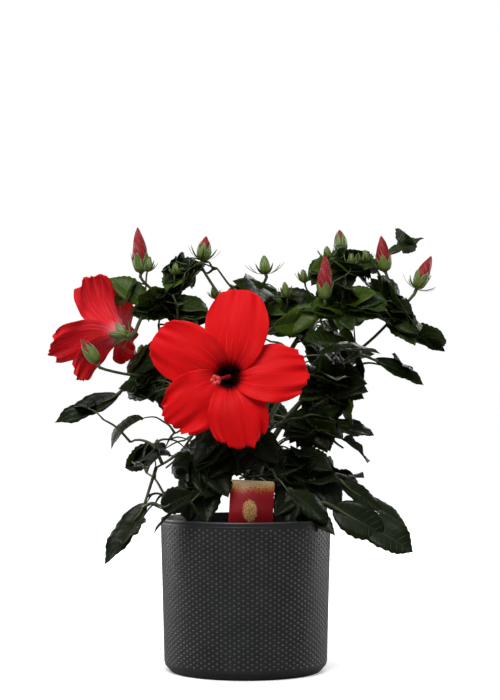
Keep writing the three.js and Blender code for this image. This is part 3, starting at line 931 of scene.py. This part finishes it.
def lead_clump(name, heap, rng):
    """Leaves that end at the points of a clump that stand furthest out in the front view."""
    points = mass_shapes[name][0]
    middle, first, led = points.mean(0), wave(rng), 0
    front, low = points[:, 1].min(), points[:, 2].mean() < CLUMP["low"]
    for way in range(CLUMP["ways"]):
        end = points[np.argmax(across_the_view(points, first + way * math.tau / CLUMP["ways"]))]
        near = rng.uniform(0.2, 0.9)
        tip = array([end[0], middle[1] * (1 - near) + front * near, end[2]])
        sink = RIM_COVER if low and tip[2] < middle[2] else 0
        tip += (middle - tip) * CLUMP["inset"] - array(UP) * sink
        hang = rng.uniform(0, CLUMP["hang_low"] if low else CLUMP["hang"])
        along = unit(tip - middle - array(UP) * hang)
        length = max(CLUMP_LENGTH[0], CLUMP["stretch"] * np.linalg.norm(tip - middle))
        foot = tip - along * min(CLUMP_LENGTH[1], length) + array([0, STEP_BACK, 0])
        led += leading_leaf(name, heap, rng, foot, tip, rng.uniform(0.42, 0.56), rng.uniform(0.15, 0.6))
    return led


# %% Leaves of chance behind the leading ones
REAR, LOWEST_TIP = 124 * MM, 100 * MM
TRIES = 30


def fill(name, heap, rng, count):
    """Leaves round the outer side of a mass, with their tops turned up and out, inside the outline."""
    points, tree = mass_shapes[name]
    middle, turn, placed = points.mean(0), wave(rng), 0
    shallow, deep = (0.5, 1.15) if name in BACK else (0.4, 0.75)
    for attempt in range(count * TRIES):
        turn += GOLDEN
        height = 1 - 2 * ((attempt * 0.618) % 1)
        flat = math.sqrt(1 - height * height)
        ray = np.array([flat * math.cos(turn), flat * math.sin(turn), height])
        if ray @ (outward(middle) + array(UP) * 0.2) < -0.35:
            continue
        hit = tree.ray_cast(Vector(middle + ray * 0.2), Vector(-ray))[0]
        if hit is None:
            continue
        spot = middle + (array(hit) - middle) * rng.uniform(shallow, deep)
        out = outward(spot)
        side = np.cross(UP, out)
        along = unit(side * rng.uniform(-1, 1) + out * rng.uniform(0, 0.9) + array(UP) * rng.uniform(-1, 0.3))
        length, width = rng.uniform(*LEAF_LENGTH), rng.uniform(0.4, 0.56)
        normal = out * rng.uniform(0.3, 1) + array(UP) * rng.uniform(0.2, 1)
        normal = normal + [rng.uniform(-0.5, 0.5) for _ in range(3)]
        base, tip = spot - along * length * 0.5, spot + along * length * 0.5
        half = unit(np.cross(along, normal)) * length * width * 0.4
        if base[2] < MIX["top"] + 6 * MM or tip[2] < LOWEST_TIP:
            continue
        over_pot = tip[2] < POT["height"] + 4 * MM and np.linalg.norm(tip[:2]) < POT["rim"] + 4 * MM
        if tip[1] > REAR or over_pot:
            continue
        places = [spot, tip, base, base * 0.7 + tip * 0.3, base * 0.3 + tip * 0.7, spot + half, spot - half]
        strict = 7 if attempt < count * 8 else 5 if placed else max(1, 7 - attempt // (count * 3))
        if not all(fits_the_view(place) for place in places[:strict]):
            continue
        fold, droop = rng.uniform(0.1, 0.45), rng.uniform(0.1, 0.9)
        add_petiole(base, along)
        add_leaf(heap, base, tip, normal, tone_for(tip[2], rng), rng, width, fold, droop)
        placed += 1
        if placed == count:
            return


# %% Dress every mass
WANTED = {"spray": 2, "clump": 18, "back_spray": 12, "back_clump": 28}
leaf_count = 0
for name in MASSES:
    heap, rng = Heap(), random.Random(name)
    kind, led = name.split("_")[0], 0
    if name in BACK:
        kind = "back_" + kind
    elif kind == "spray":
        led = lead_spray(name, heap, rng)
    else:
        led = lead_clump(name, heap, rng)
    fill(name, heap, rng, max(0, WANTED[kind] - led))
    piece("leaves_" + name, heap.mesh("leaves_" + name), leaf_finishes, [name])
    leaf_count += heap.count // len(leaf_template[0])
print("leaves:", leaf_count)

# %% [markdown]
# ## Buds
# A hibiscus bud is a rolled, twisted cone of red petals held in a green calyx with five pointed lobes,
# above a ring of narrow green bracts. Young buds are all green. The roll is a bent rod whose section turns
# as it rises, and lobes and bracts are narrow blades laid on it, so a bud is three kinds of part that
# repeat at every size.

# %% Bud colours
def bud_green_finish():
    green = Finish("bud_green", Roughness=0.42, Specular_IOR_Level=0.45)
    across, along, _ = across_and_along(green)
    ribs = green.ramp(green.math("ABSOLUTE", green.math("SUBTRACT", across, 0.5)), [(0.0, 1.0), (0.09, 0.0)])
    cloud = green.noise(position_of(green), 240.0, 2.0)
    ground = green.ramp(cloud, [(0.3, (0.075, 0.12, 0.02)), (0.7, (0.13, 0.19, 0.035))])
    green.color(green.mix(green.math("MULTIPLY", ribs, 0.5), ground, rgba((0.2, 0.26, 0.07))))
    green.bump(green.math("ADD", ribs, cloud), 0.0003)
    return green


def bud_red_finish():
    red = Finish("bud_red", Roughness=0.5, Specular_IOR_Level=0.3)
    across, along, _ = across_and_along(red)
    slant = red.math("ADD", across, red.math("MULTIPLY", along, 0.45))
    ridges = red.math("SINE", red.math("MULTIPLY", slant, 62.8))
    cloud = red.noise(position_of(red), 300.0, 2.0)
    stops = [(0.3, (0.23, 0.01, 0.014)), (0.75, (0.26, 0.008, 0.011)), (1.0, (0.36, 0.018, 0.018))]
    ground = red.ramp(along, stops)
    red.color(red.mix(red.math("MULTIPLY", cloud, 0.5), ground, rgba((0.2, 0.004, 0.012))))
    red.bump(ridges, 0.0002)
    return red


bud_green, bud_red = bud_green_finish(), bud_red_finish()
BUD_FINISHES = [bud_green, bud_red]
GREEN, RED = 0, 1
body_rod = rod_template(20, 20)
bract_blade = blade_template(4, 8)


# %% Parts of a bud
def basis(axis):
    """Two level-ish directions across an axis, and the axis."""
    axis = unit(axis)
    across = unit(np.cross(axis, [0.13, 0.97, 0.2]))
    return across, np.cross(axis, across), axis


def laid_blades(heap, center, axis, count, profile, half_width, slot, turn=0.0, thick=0.35 * MM, curl=0.0):
    """Blades round an axis. `profile` gives (distance out, height) in metres along a blade's length."""
    across, other, axis = basis(axis)
    s, t, side = bract_blade[0].T
    out, height = profile(t)
    half = half_width(t)
    for k in range(count):
        angle = turn + 2 * math.pi * k / count + s * np.minimum(half / np.maximum(out, half * 0.6), 1.3)
        reach = out + side * thick + curl * s**2 * half
        ring = np.cos(angle)[:, None] * across + np.sin(angle)[:, None] * other
        world = center + ring * reach[:, None] + height[:, None] * axis
        heap.add(world, bract_blade[1], np.stack([(s + 1) / 2, t], 1), slot)


def bud_shape(heap, base, tip, width, red_share, bract, spread, rng):
    """One bud from the foot of its calyx to its tip."""
    length = np.linalg.norm(tip - base)
    axis = unit(tip - base)
    radius = width / 2
    phase = wave(rng)

    def roll(t, angle):
        body = np.maximum(t, 0) ** 0.45 * np.maximum(1 - t, 0) ** 0.85 / 0.44
        folds = 0.1 * min(1, red_share * 3) * t * np.sin(3 * angle + 9 * t + phase)
        return radius * 0.9 * body * (1 + folds) + 0.04 * MM

    bent, uvs = bent_rod(body_rod, [base, (base + tip) / 2, tip], roll)
    heap.add(bent, body_rod[1], uvs, RED if red_share > 0.05 else GREEN)
    cup = 1 - red_share if red_share > 0.05 else 0.985

    def lobe(t):
        share = t * cup
        return roll(share, 0.0 * t) * 1.06 + 0.3 * MM + 0.5 * MM * t**4, share * length

    def lobe_half(t):
        wrap = roll(t * cup, 0.0 * t) * 0.76
        return np.where(t < 0.5, wrap, wrap * (1 - ((t - 0.5) / 0.5) ** 1.3))

    def bract_line(t):
        lean = spread - 0.45 * t
        return 1.6 * MM + bract * t * np.sin(lean), bract * t * np.cos(lean)

    laid_blades(heap, base, axis, 5, lobe, lobe_half, GREEN, phase)
    laid_blades(heap, base, axis, 7, bract_line, lambda t: 1.6 * MM * (1 - 0.92 * t**2), GREEN, phase + 0.3)


# %% Where each bud is
BUDS = {
    "bud_left_tall": {"length": 42, "width": 15.5, "red": 0.54, "spread": 0.6, "bract": 10},
    "bud_left_small": {"length": 23, "width": 13, "red": 0.22, "spread": 1.3, "bract": 18},
    "bud_middle": {"length": 17, "width": 9.5, "red": 0.0, "spread": 1.5, "bract": 19},
    "bud_right_red": {"length": 39, "width": 15, "red": 0.6, "spread": 0.6, "bract": 10},
    "bud_right_green": {"length": 22, "width": 12.5, "red": 0.08, "spread": 1.0, "bract": 10},
    "bud_right_tall": {"length": 33, "width": 14.5, "red": 0.5, "spread": 0.7, "bract": 10},
    "bud_far_right": {"length": 33, "width": 14, "red": 0.48, "spread": 1.55, "bract": 17},
    "bud_far_left": {"length": 26, "width": 12, "red": 0.16, "spread": 0.6, "bract": 9},
}


def bud_ends(name):
    """The foot of a bud's calyx, its tip, and the foot of its stalk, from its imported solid."""
    points, _ = solid(name)
    _, root = nearest_wood(points, woods)
    tip = points[np.argmax(np.linalg.norm(points - root, axis=1))]
    far = np.linalg.norm(points - tip, axis=1)
    body = points[far < BUDS[name]["length"] * MM * 1.02]
    axis = unit(tip - body[np.linalg.norm(body - tip, axis=1) > 1 * MM].mean(0))
    return tip - axis * BUDS[name]["length"] * MM, tip, root


stalk_rod = rod_template(8, 12)


def add_stalk(root, base, axis, thick=1.3 * MM):
    """A flower's own stalk, swollen a little where it meets the calyx."""
    middle = (root + base) / 2 - unit(axis) * 0.1 * np.linalg.norm(base - root)
    near = base - unit(axis) * 5 * MM
    size = lambda t, angle: thick * (1 + 0.35 * np.maximum(0, t - 0.85) / 0.15)
    bent, uvs = bent_rod(stalk_rod, [root, middle, near, base + unit(axis) * 1.5 * MM], size)
    twigs.add(bent, stalk_rod[1], uvs)


for name, bud in BUDS.items():
    base, tip, root = bud_ends(name)
    heap, rng = Heap(), random.Random(name)
    bud_shape(heap, base, tip, bud["width"] * MM, bud["red"], bud["bract"] * MM, bud["spread"], rng)
    add_stalk(root, base, tip - base)
    piece("opening_" + name, heap.mesh("opening_" + name), BUD_FINISHES, [name])
print("buds:", len(BUDS))

# %% Young buds
YOUNG = [
    (-85, -6, 366), (-62, -6, 361), (34, -16, 343), (50, -16, 354),
    (71, -22, 374), (94, -6, 369), (107, 0, 372), (-30, 60, 344),
    (40, 72, 342), (-96, 74, 290), (102, 78, 292),
]


def young_buds():
    heap = Heap()
    for place in YOUNG:
        rng = random.Random(str(place))
        tip = array(place) * MM
        axis = unit([rng.uniform(-0.2, 0.2), rng.uniform(-0.2, 0.2), 1])
        length = rng.uniform(11, 14) * MM
        base = tip - axis * length
        below = woods - (base - 16 * MM * axis)
        root = woods[np.argmin(np.linalg.norm(below, axis=1) + 2 * np.maximum(0, below[:, 2]))]
        width, bract = rng.uniform(6, 7.5) * MM, rng.uniform(9, 13) * MM
        bud_shape(heap, base, tip, width, 0, bract, rng.uniform(0.9, 1.3), rng)
        add_stalk(root, base, axis, 0.8 * MM)
    return heap.mesh("young_buds")


piece("young_buds", young_buds(), BUD_FINISHES)

# %% [markdown]
# ## The open blooms
# A hibiscus bloom is five broad petals, each a fan of fine folds, that stand in a deep funnel and overlap
# the same way round. Where they narrow into the funnel they are nearly black. The petals' outer edge is
# frilled. One petal is a fan-shaped grid: across it runs an angle, along it a distance from the funnel to
# the edge. The funnel, the lean of each petal over its neighbour, the folds and the frill are then added
# one on top of the other as heights.

# %% Petal colours
def petal_finish(name, eye, throat, body, rim, vein, back):
    petal = Finish(name, Roughness=0.6, Specular_IOR_Level=0.1, Subsurface_Weight=0.12, Subsurface_Scale=0.004)
    across, along, uv = across_and_along(petal)
    cloud = petal.noise(position_of(petal), 90.0, 3.0)
    shaken = petal.math("ADD", along, petal.math("MULTIPLY", petal.math("SUBTRACT", cloud, 0.5), 0.07))
    spread = petal.add("Mapping", {"Vector": uv, "Scale": (42.0, 1.6, 1.0)})
    streak = petal.noise(spread, 1.0, 3.0, 0.6)
    reach = petal.math("ADD", shaken, petal.math("MULTIPLY", petal.math("SUBTRACT", streak, 0.5), 0.16))
    ground = petal.ramp(reach, [(0.15, eye), (0.19, throat), (0.25, body), (0.85, body), (1.0, rim)])
    back_fade, face_fade = [(0.0, 1.0), (0.95, 0.4)], [(0.16, 0.0), (0.28, 0.75), (0.6, 0.2), (0.9, 0.0)]
    fade = petal.ramp(along, back_fade if back else face_fade)
    lines = petal.ramp(streak, [(0.52, 0.0), (0.66, 1.0)])
    petal.color(petal.mix(petal.math("MULTIPLY", petal.math("MULTIPLY", lines, fade), 0.5), ground, rgba(vein)))
    petal.bump(streak, 0.0008 if back else 0.0004, 0.6)
    return petal


petal_face = petal_finish(
    "petal_face",
    eye=(0.012, 0.0004, 0.001),
    throat=(0.25, 0.001, 0.003),
    body=(0.67, 0.003, 0.005),
    rim=(0.66, 0.003, 0.006),
    vein=(0.85, 0.1, 0.09),
    back=False,
)
petal_back = petal_finish(
    "petal_back",
    eye=(0.74, 0.17, 0.19),
    throat=(0.74, 0.06, 0.075),
    body=(0.68, 0.012, 0.022),
    rim=(0.62, 0.008, 0.015),
    vein=(0.78, 0.2, 0.21),
    back=True,
)
petal_blade = blade_template(44, 36, pointed=False)
petal_on_top = [all(petal_blade[0][i, 2] > -0.5 for i in face) for face in petal_blade[1]]
print("petal faces:", len(petal_blade[1]))

# %% Petals, one by one
BLOOMS = {
    "bloom_front": {
        "back": 0,
        "depth": 30,
        "funnel": 9.0,
        "calyx": 24,
        "shift": (3.3, -4.5),
        "tip_shift": array((-1.6, 0, 3.0)),
        "petals": [
            (81, 74, 62, 0.3), (152, 71, 60, 0.4), (217, 63, 60, 1.0),
            (283, 60, 64, 1.0), (4, 66, 60, 0.7),
        ],
    },
    "bloom_left": {
        "back": 6,
        "depth": 37,
        "funnel": 19.0,
        "calyx": 15,
        "shift": (0, -2.5),
        "tip_shift": array((0, 0, 0)),
        "petals": [
            (66, 52, 50, 0.6), (134, 43, 50, 0.6), (200, 48, 52, 0.6),
            (296, 49, 42, 0.7), (342, 61, 42, 0.8),
        ],
    },
}
PETAL = {"neck": 3.4, "lean": 0.15, "fold": 0.12, "reflex": 5.0, "thick": 0.3, "spread": 1.12}


def petal_points(angle, reach, width, frill, depth, funnel, rng):
    """One petal in millimetres: first and second numbers on the face of the bloom, third out of it."""
    s, t, side = petal_blade[0].T
    neck = PETAL["neck"]
    flare = neck + (reach - neck) * t**1.25
    taper = 1 - 0.2 * np.clip((t - 0.72) / 0.28, 0, 1) ** 2
    half = width / 2 * np.tanh(PETAL["spread"] * flare / (width / 2)) * taper
    rounding = 1 - 0.11 * np.abs(s) ** 2.6 * t**3
    ragged = sum(np.sin(s * k + wave(rng)) / k for k in (5, 9, 14, 23))
    uneven = s + 0.15 * np.sin(5 * s + wave(rng))
    scallop = np.abs(np.sin(7 * uneven + wave(rng))) + 0.6 * np.abs(np.sin(16 * uneven + wave(rng)))
    rho = flare * rounding + frill * (7 * ragged + 2.4 * scallop - 1.5) * t**9
    phi = math.radians(angle) + s * half / np.maximum(flare, 1)
    height = -depth * np.exp(-(flare - neck) / funnel) - PETAL["reflex"] * (flare / reach) ** 3
    height -= PETAL["lean"] * s * half * np.minimum(1, flare / 25)
    height += PETAL["fold"] * np.sin(s * 13 + 1.5 * np.sin(4 * t + wave(rng))) * np.minimum(1, flare / 20)
    height += 1.6 * np.exp(-((s * 3.2) ** 2)) * np.sin(math.pi * t) - 1.5 * s**2 * np.sin(math.pi * t)
    edge = np.clip((t - 0.55) / 0.45, 0, 1) ** 1.6
    ruffle = np.sin(s * 6.5 + wave(rng)) + 0.8 * np.sin(s * 11 + wave(rng)) + 0.4 * np.sin(s * 19 + wave(rng))
    height += (0.5 + 1.7 * frill) * ruffle * edge
    flank = np.abs(s) ** 3 * np.clip((t - 0.25) / 0.4, 0, 1)
    height += (0.5 + 1.3 * frill) * np.sin(t * 15 + wave(rng) + 2 * np.sign(s)) * flank
    height += side * PETAL["thick"]
    return np.stack([rho * np.cos(phi), rho * np.sin(phi), height], 1)


# %% The middle column of a bloom
def small_ball(sides, rings):
    bm = bmesh.new()
    bmesh.ops.create_uvsphere(bm, u_segments=sides, v_segments=rings, radius=1)
    return template(bm)


pollen_ball = small_ball(8, 6)
thread_rod = rod_template(5, 3)


def column_finish(name, color, light):
    column = Finish(name, Roughness=0.6, Specular_IOR_Level=0.2)
    cloud = column.noise(position_of(column), 700.0, 2.0)
    column.color(column.ramp(cloud, [(0.3, color), (0.7, light)]))
    column.bump(cloud, 0.0003)
    return column


COLUMN_FINISHES = [
    # The column's tube and threads are a dark red, darker than the petals: painted shade deep in the bloom.
    column_finish("column_red", (0.22, 0.003, 0.006), (0.36, 0.008, 0.012)),
    column_finish("pollen", (0.62, 0.03, 0.02), (0.85, 0.17, 0.1)),
    column_finish("stigma_red", (0.62, 0.02, 0.03), (0.8, 0.1, 0.09)),
]


def add_ball(heap, center, size, slot, stretch=(1, 1, 1)):
    points, faces = pollen_ball
    heap.add(center + points * size * np.array(stretch), faces, np.zeros((len(points), 2)), slot)


def column_shape(heap, start, bend, end, rng):
    """The staminal column: a bent tube with stamens on its outer half and five stigma pads at its tip."""
    line = smooth_line([start, bend, end], 40)
    bent, uvs = bent_rod(body_rod, [start, bend, end], lambda t, angle: (1.8 - 0.9 * t) * MM * (1.001 - t**24))
    heap.add(bent, body_rod[1], uvs, 0)
    along, side, other = carried_frames(line)
    turn = 0.0
    for k in range(90):
        at = 32 + int(8 * (k / 90))
        turn += GOLDEN
        out = unit(math.cos(turn) * side[at] + math.sin(turn) * other[at] + along[at] * rng.uniform(0.1, 0.7))
        length = rng.uniform(2.4, 3.2 + 2.2 * k / 90) * MM
        thread, thread_uvs = bent_rod(
            thread_rod,
            [line[at], line[at] + out * length * 0.6, line[at] + out * length + along[at] * 0.5 * MM],
            lambda t, angle: 0.2 * MM,
        )
        heap.add(thread, thread_rod[1], thread_uvs, 0)
        add_ball(heap, thread[-1], rng.uniform(0.8, 1.1) * MM, 1, (1, 0.8, 0.9))
    for k in range(5):
        turn = 2 * math.pi * k / 5 + 0.4
        out = unit(math.cos(turn) * side[-1] + math.sin(turn) * other[-1] + along[-1] * 0.75)
        style = end - along[-1] * 1.5 * MM
        pad = style + out * 3.3 * MM
        thread, thread_uvs = bent_rod(thread_rod, [style, style + out * 2.4 * MM, pad], lambda t, angle: 0.4 * MM)
        heap.add(thread, thread_rod[1], thread_uvs, 2)
        add_ball(heap, pad, 1.9 * MM, 2)


# %% Build both blooms
def bloom_frame(name):
    """The foot of a bloom, the way it faces, how deep it is, and the tip of its column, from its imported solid."""
    points, _ = solid(name)
    facing = outward(points.mean(0))
    middle = points.mean(0)
    for _ in range(6):
        height = (points - middle) @ facing
        off = np.linalg.norm(points - middle - height[:, None] * facing, axis=1)
        rim = points[off > 0.75 * off.max()]
        middle = rim.mean(0)
        plane = np.linalg.svd(rim - middle)[2][2]
        facing = plane if plane @ facing > 0 else -plane
    height = (points - middle) @ facing
    foot = points[np.argsort(height)[:5]].mean(0)
    root = nearest_wood(foot[None], woods)[1]
    return root, foot, facing, (middle - foot) @ facing, points[np.argmax(height)]


for name, bloom in BLOOMS.items():
    root, foot, facing, depth, tip = bloom_frame(name)
    rng = random.Random(name)
    right = unit(np.cross(UP, facing))
    upward = np.cross(facing, right)
    foot = foot + (right * bloom["shift"][0] + upward * bloom["shift"][1]) * MM
    depth -= bloom["back"] * MM
    face_center = foot + facing * depth
    petals = Heap()
    for angle, reach, width, frill in bloom["petals"]:
        local = petal_points(angle, reach, width, frill, bloom["depth"], bloom["funnel"], rng) * MM
        world = face_center + local[:, :1] * right + local[:, 1:2] * upward + local[:, 2:] * facing
        s, t, _ = petal_blade[0].T
        sides = [0 if top else 1 for top in petal_on_top]
        petals.add(world, petal_blade[1], np.stack([(s + 1) / 2, t], 1), sides)
    piece(name + "_petals", petals.mesh(name + "_petals"), [petal_face, petal_back], [name])
    column = Heap()
    start = foot + facing * (depth - 0.8 * bloom["depth"] * MM)
    bend, end = (start + face_center + facing * 12 * MM) / 2, tip - facing * 4 * MM + bloom["tip_shift"] * MM
    column_shape(column, start, bend, end, rng)
    piece(name + "_column", column.mesh(name + "_column"), COLUMN_FINISHES)
    green = Heap()
    cup, neck = bloom["calyx"] * MM, depth - bloom["depth"] * MM

    def calyx_line(t):
        above = np.minimum(t * cup - neck, 0.9 * bloom["depth"] * MM)
        deep = bloom["depth"] * MM
        widening = bloom["funnel"] * MM * np.log(deep / (deep - np.maximum(above, 0)))
        return PETAL["neck"] * MM + widening + 1.1 * MM + 1.5 * MM * t**6 - 1.2 * MM * (1 - t) ** 3, cup * t

    def calyx_half(t):
        out = calyx_line(t)[0] * 0.72
        return np.where(t < 0.5, out, out * (1 - ((t - 0.5) / 0.5) ** 1.4))

    laid_blades(green, foot, facing, 5, calyx_line, calyx_half, GREEN, wave(rng), 0.5 * MM)
    bract = 15 * MM
    laid_blades(
        green, foot, facing, 7,
        lambda t: (3 * MM + bract * 0.75 * t, bract * 0.55 * t),
        lambda t: 1.2 * MM * (1 - 0.9 * t),
        GREEN,
    )
    knots = [foot - facing * 1 * MM, foot + facing * 2 * MM, foot + facing * 6 * MM]
    end_rod, end_uvs = bent_rod(body_rod, knots, lambda t, angle: (2.2 + 1.0 * t) * MM)
    green.add(end_rod, body_rod[1], end_uvs, GREEN)
    piece(name + "_calyx", green.mesh(name + "_calyx"), BUD_FINISHES)
    add_stalk(root, foot, facing, 1.6 * MM)
    print(name, "faces", [round(x, 2) for x in facing], "deep", round(depth / MM, 1))

# %% Join the twigs
twig_piece = piece("twigs_and_stalks", twigs.mesh("twigs_and_stalks"), [stalk_green])
print("twig faces:", len(twig_piece.data.polygons))

# %% [markdown]
# ## Floor, light and camera
# The plant stands on a plain pale floor in a bright, even studio. The world is white where the camera
# looks, and for every other ray it is brightest overhead. A large soft lamp from the front and above gives
# leaves their gloss, and a weaker one from behind edges them.

# %% Light the plant
CAMERA = {"distance": 1.75, "height": 0.249, "aim": 3.8 * MM, "pitch": 1.12, "lens": 101.4}
LIGHT = {"top": 0.5, "level": 0.14, "below": 0.05, "key": 28.0, "strip": 11.0, "back": 13.0}
# The floor's dimmer glow near the pot is a painted shadow round the pot's foot.
FLOOR = {"bounce": 0.32, "glow": 0.68, "near_pot_shadow_glow": 0.24}


def floor():
    """Plain paper. It glows to the eye, with a dimmer glow near the pot that paints a shadow round its foot, and
    gives the plant a weak light from below.
    """
    bm = bmesh.new()
    bmesh.ops.create_grid(bm, x_segments=1, y_segments=1, size=20)
    mesh = finished(bm, "studio_floor")
    made = bpy.data.objects.new("studio_floor", mesh)
    bpy.context.scene.collection.objects.link(made)
    paper = Finish("studio_paper", Roughness=0.9, Specular_IOR_Level=0.1)
    clouds = paper.noise(position_of(paper), 3.0)
    paper.color(paper.ramp(clouds, [(0.0, (0.9,) * 3), (1.0, (0.94,) * 3)]))
    place = position_of(paper)
    away = paper.add("VectorMath", {0: place}, output=1, operation="LENGTH")
    # The glow is dimmest round the pot and rises outwards: a painted shadow round its foot.
    near = FLOOR["near_pot_shadow_glow"]
    stops = [(0.0, (near,) * 3), (0.1, (near,) * 3), (0.6, (FLOOR["glow"],) * 3)]
    glow = paper.ramp(away, stops)
    paper.set(paper.shader, {"Emission Color": glow, "Emission Strength": 1.0})
    dim = paper.add("BsdfDiffuse", {"Color": rgba((1, 1, 1), FLOOR["bounce"])})
    eye = paper.add("LightPath")
    both = paper.add("MixShader", {0: eye, 1: dim, 2: paper.shader.outputs[0]})
    paper.set(paper.tree.nodes["Material Output"], {"Surface": both})
    mesh.materials.append(paper.material)


def studio_light():
    world = bpy.data.worlds.new("studio")
    bpy.context.scene.world = world
    world.use_nodes = True
    nodes, links = world.node_tree.nodes, world.node_tree.links
    shade = nodes["Background"]
    seen = nodes.new("ShaderNodeBackground")
    seen.inputs["Strength"].default_value = 1.0
    seen.inputs["Color"].default_value = (1, 1, 1, 1)
    place = nodes.new("ShaderNodeTexCoord")
    split = nodes.new("ShaderNodeSeparateXYZ")
    links.new(place.outputs["Generated"], split.inputs[0])
    ramp = nodes.new("ShaderNodeValToRGB")
    lift = nodes.new("ShaderNodeMath")
    lift.operation = "MULTIPLY_ADD"
    lift.inputs[1].default_value = 0.5
    lift.inputs[2].default_value = 0.5
    links.new(split.outputs[2], lift.inputs[0])
    links.new(lift.outputs[0], ramp.inputs[0])
    levels = (LIGHT["below"], LIGHT["level"], LIGHT["top"])
    elements = ramp.color_ramp.elements
    elements.new(0.5)
    for element, position, level in zip(elements, (0.0, 0.5, 1.0), levels):
        element.position = position
        element.color = (level, level, level, 1)
    links.new(ramp.outputs[0], shade.inputs["Color"])
    path = nodes.new("ShaderNodeLightPath")
    mix = nodes.new("ShaderNodeMixShader")
    links.new(path.outputs["Is Camera Ray"], mix.inputs[0])
    links.new(shade.outputs[0], mix.inputs[1])
    links.new(seen.outputs[0], mix.inputs[2])
    links.new(mix.outputs[0], nodes["World Output"].inputs[0])


def soft_lamp(name, place, target, size, watts):
    lamp = bpy.data.lights.new(name, "AREA")
    lamp.size = size
    lamp.energy = watts
    made = bpy.data.objects.new(name, lamp)
    made.location = place
    made.rotation_euler = (Vector(target) - Vector(place)).to_track_quat("-Z", "Y").to_euler()
    bpy.context.scene.collection.objects.link(made)


floor()
studio_light()
soft_lamp("key_lamp", (-0.35, -1.1, 1.5), (0, 0, 0.25), 0.9, LIGHT["key"])
soft_lamp("back_lamp", (0.5, 1.3, 1.3), (0, 0, 0.25), 0.9, LIGHT["back"])
soft_lamp("left_strip", (-1.2, 0.7, 0.45), (0, 0, 0.2), 0.8, LIGHT["strip"])
soft_lamp("right_strip", (1.2, 0.7, 0.45), (0, 0, 0.2), 0.8, LIGHT["strip"])
bpy.context.scene.view_settings.view_transform = "Standard"


# %% Place the camera
def camera():
    lens = bpy.data.cameras.new("front_camera")
    lens.lens = CAMERA["lens"]
    lens.clip_end = 60
    made = bpy.data.objects.new("front_camera", lens)
    turn = -math.atan2(CAMERA["aim"], CAMERA["distance"])
    made.location = (0, -CAMERA["distance"], CAMERA["height"])
    made.rotation_euler = (math.radians(90 + CAMERA["pitch"]), 0, turn)
    bpy.context.scene.collection.objects.link(made)
    bpy.context.scene.camera = made


camera()
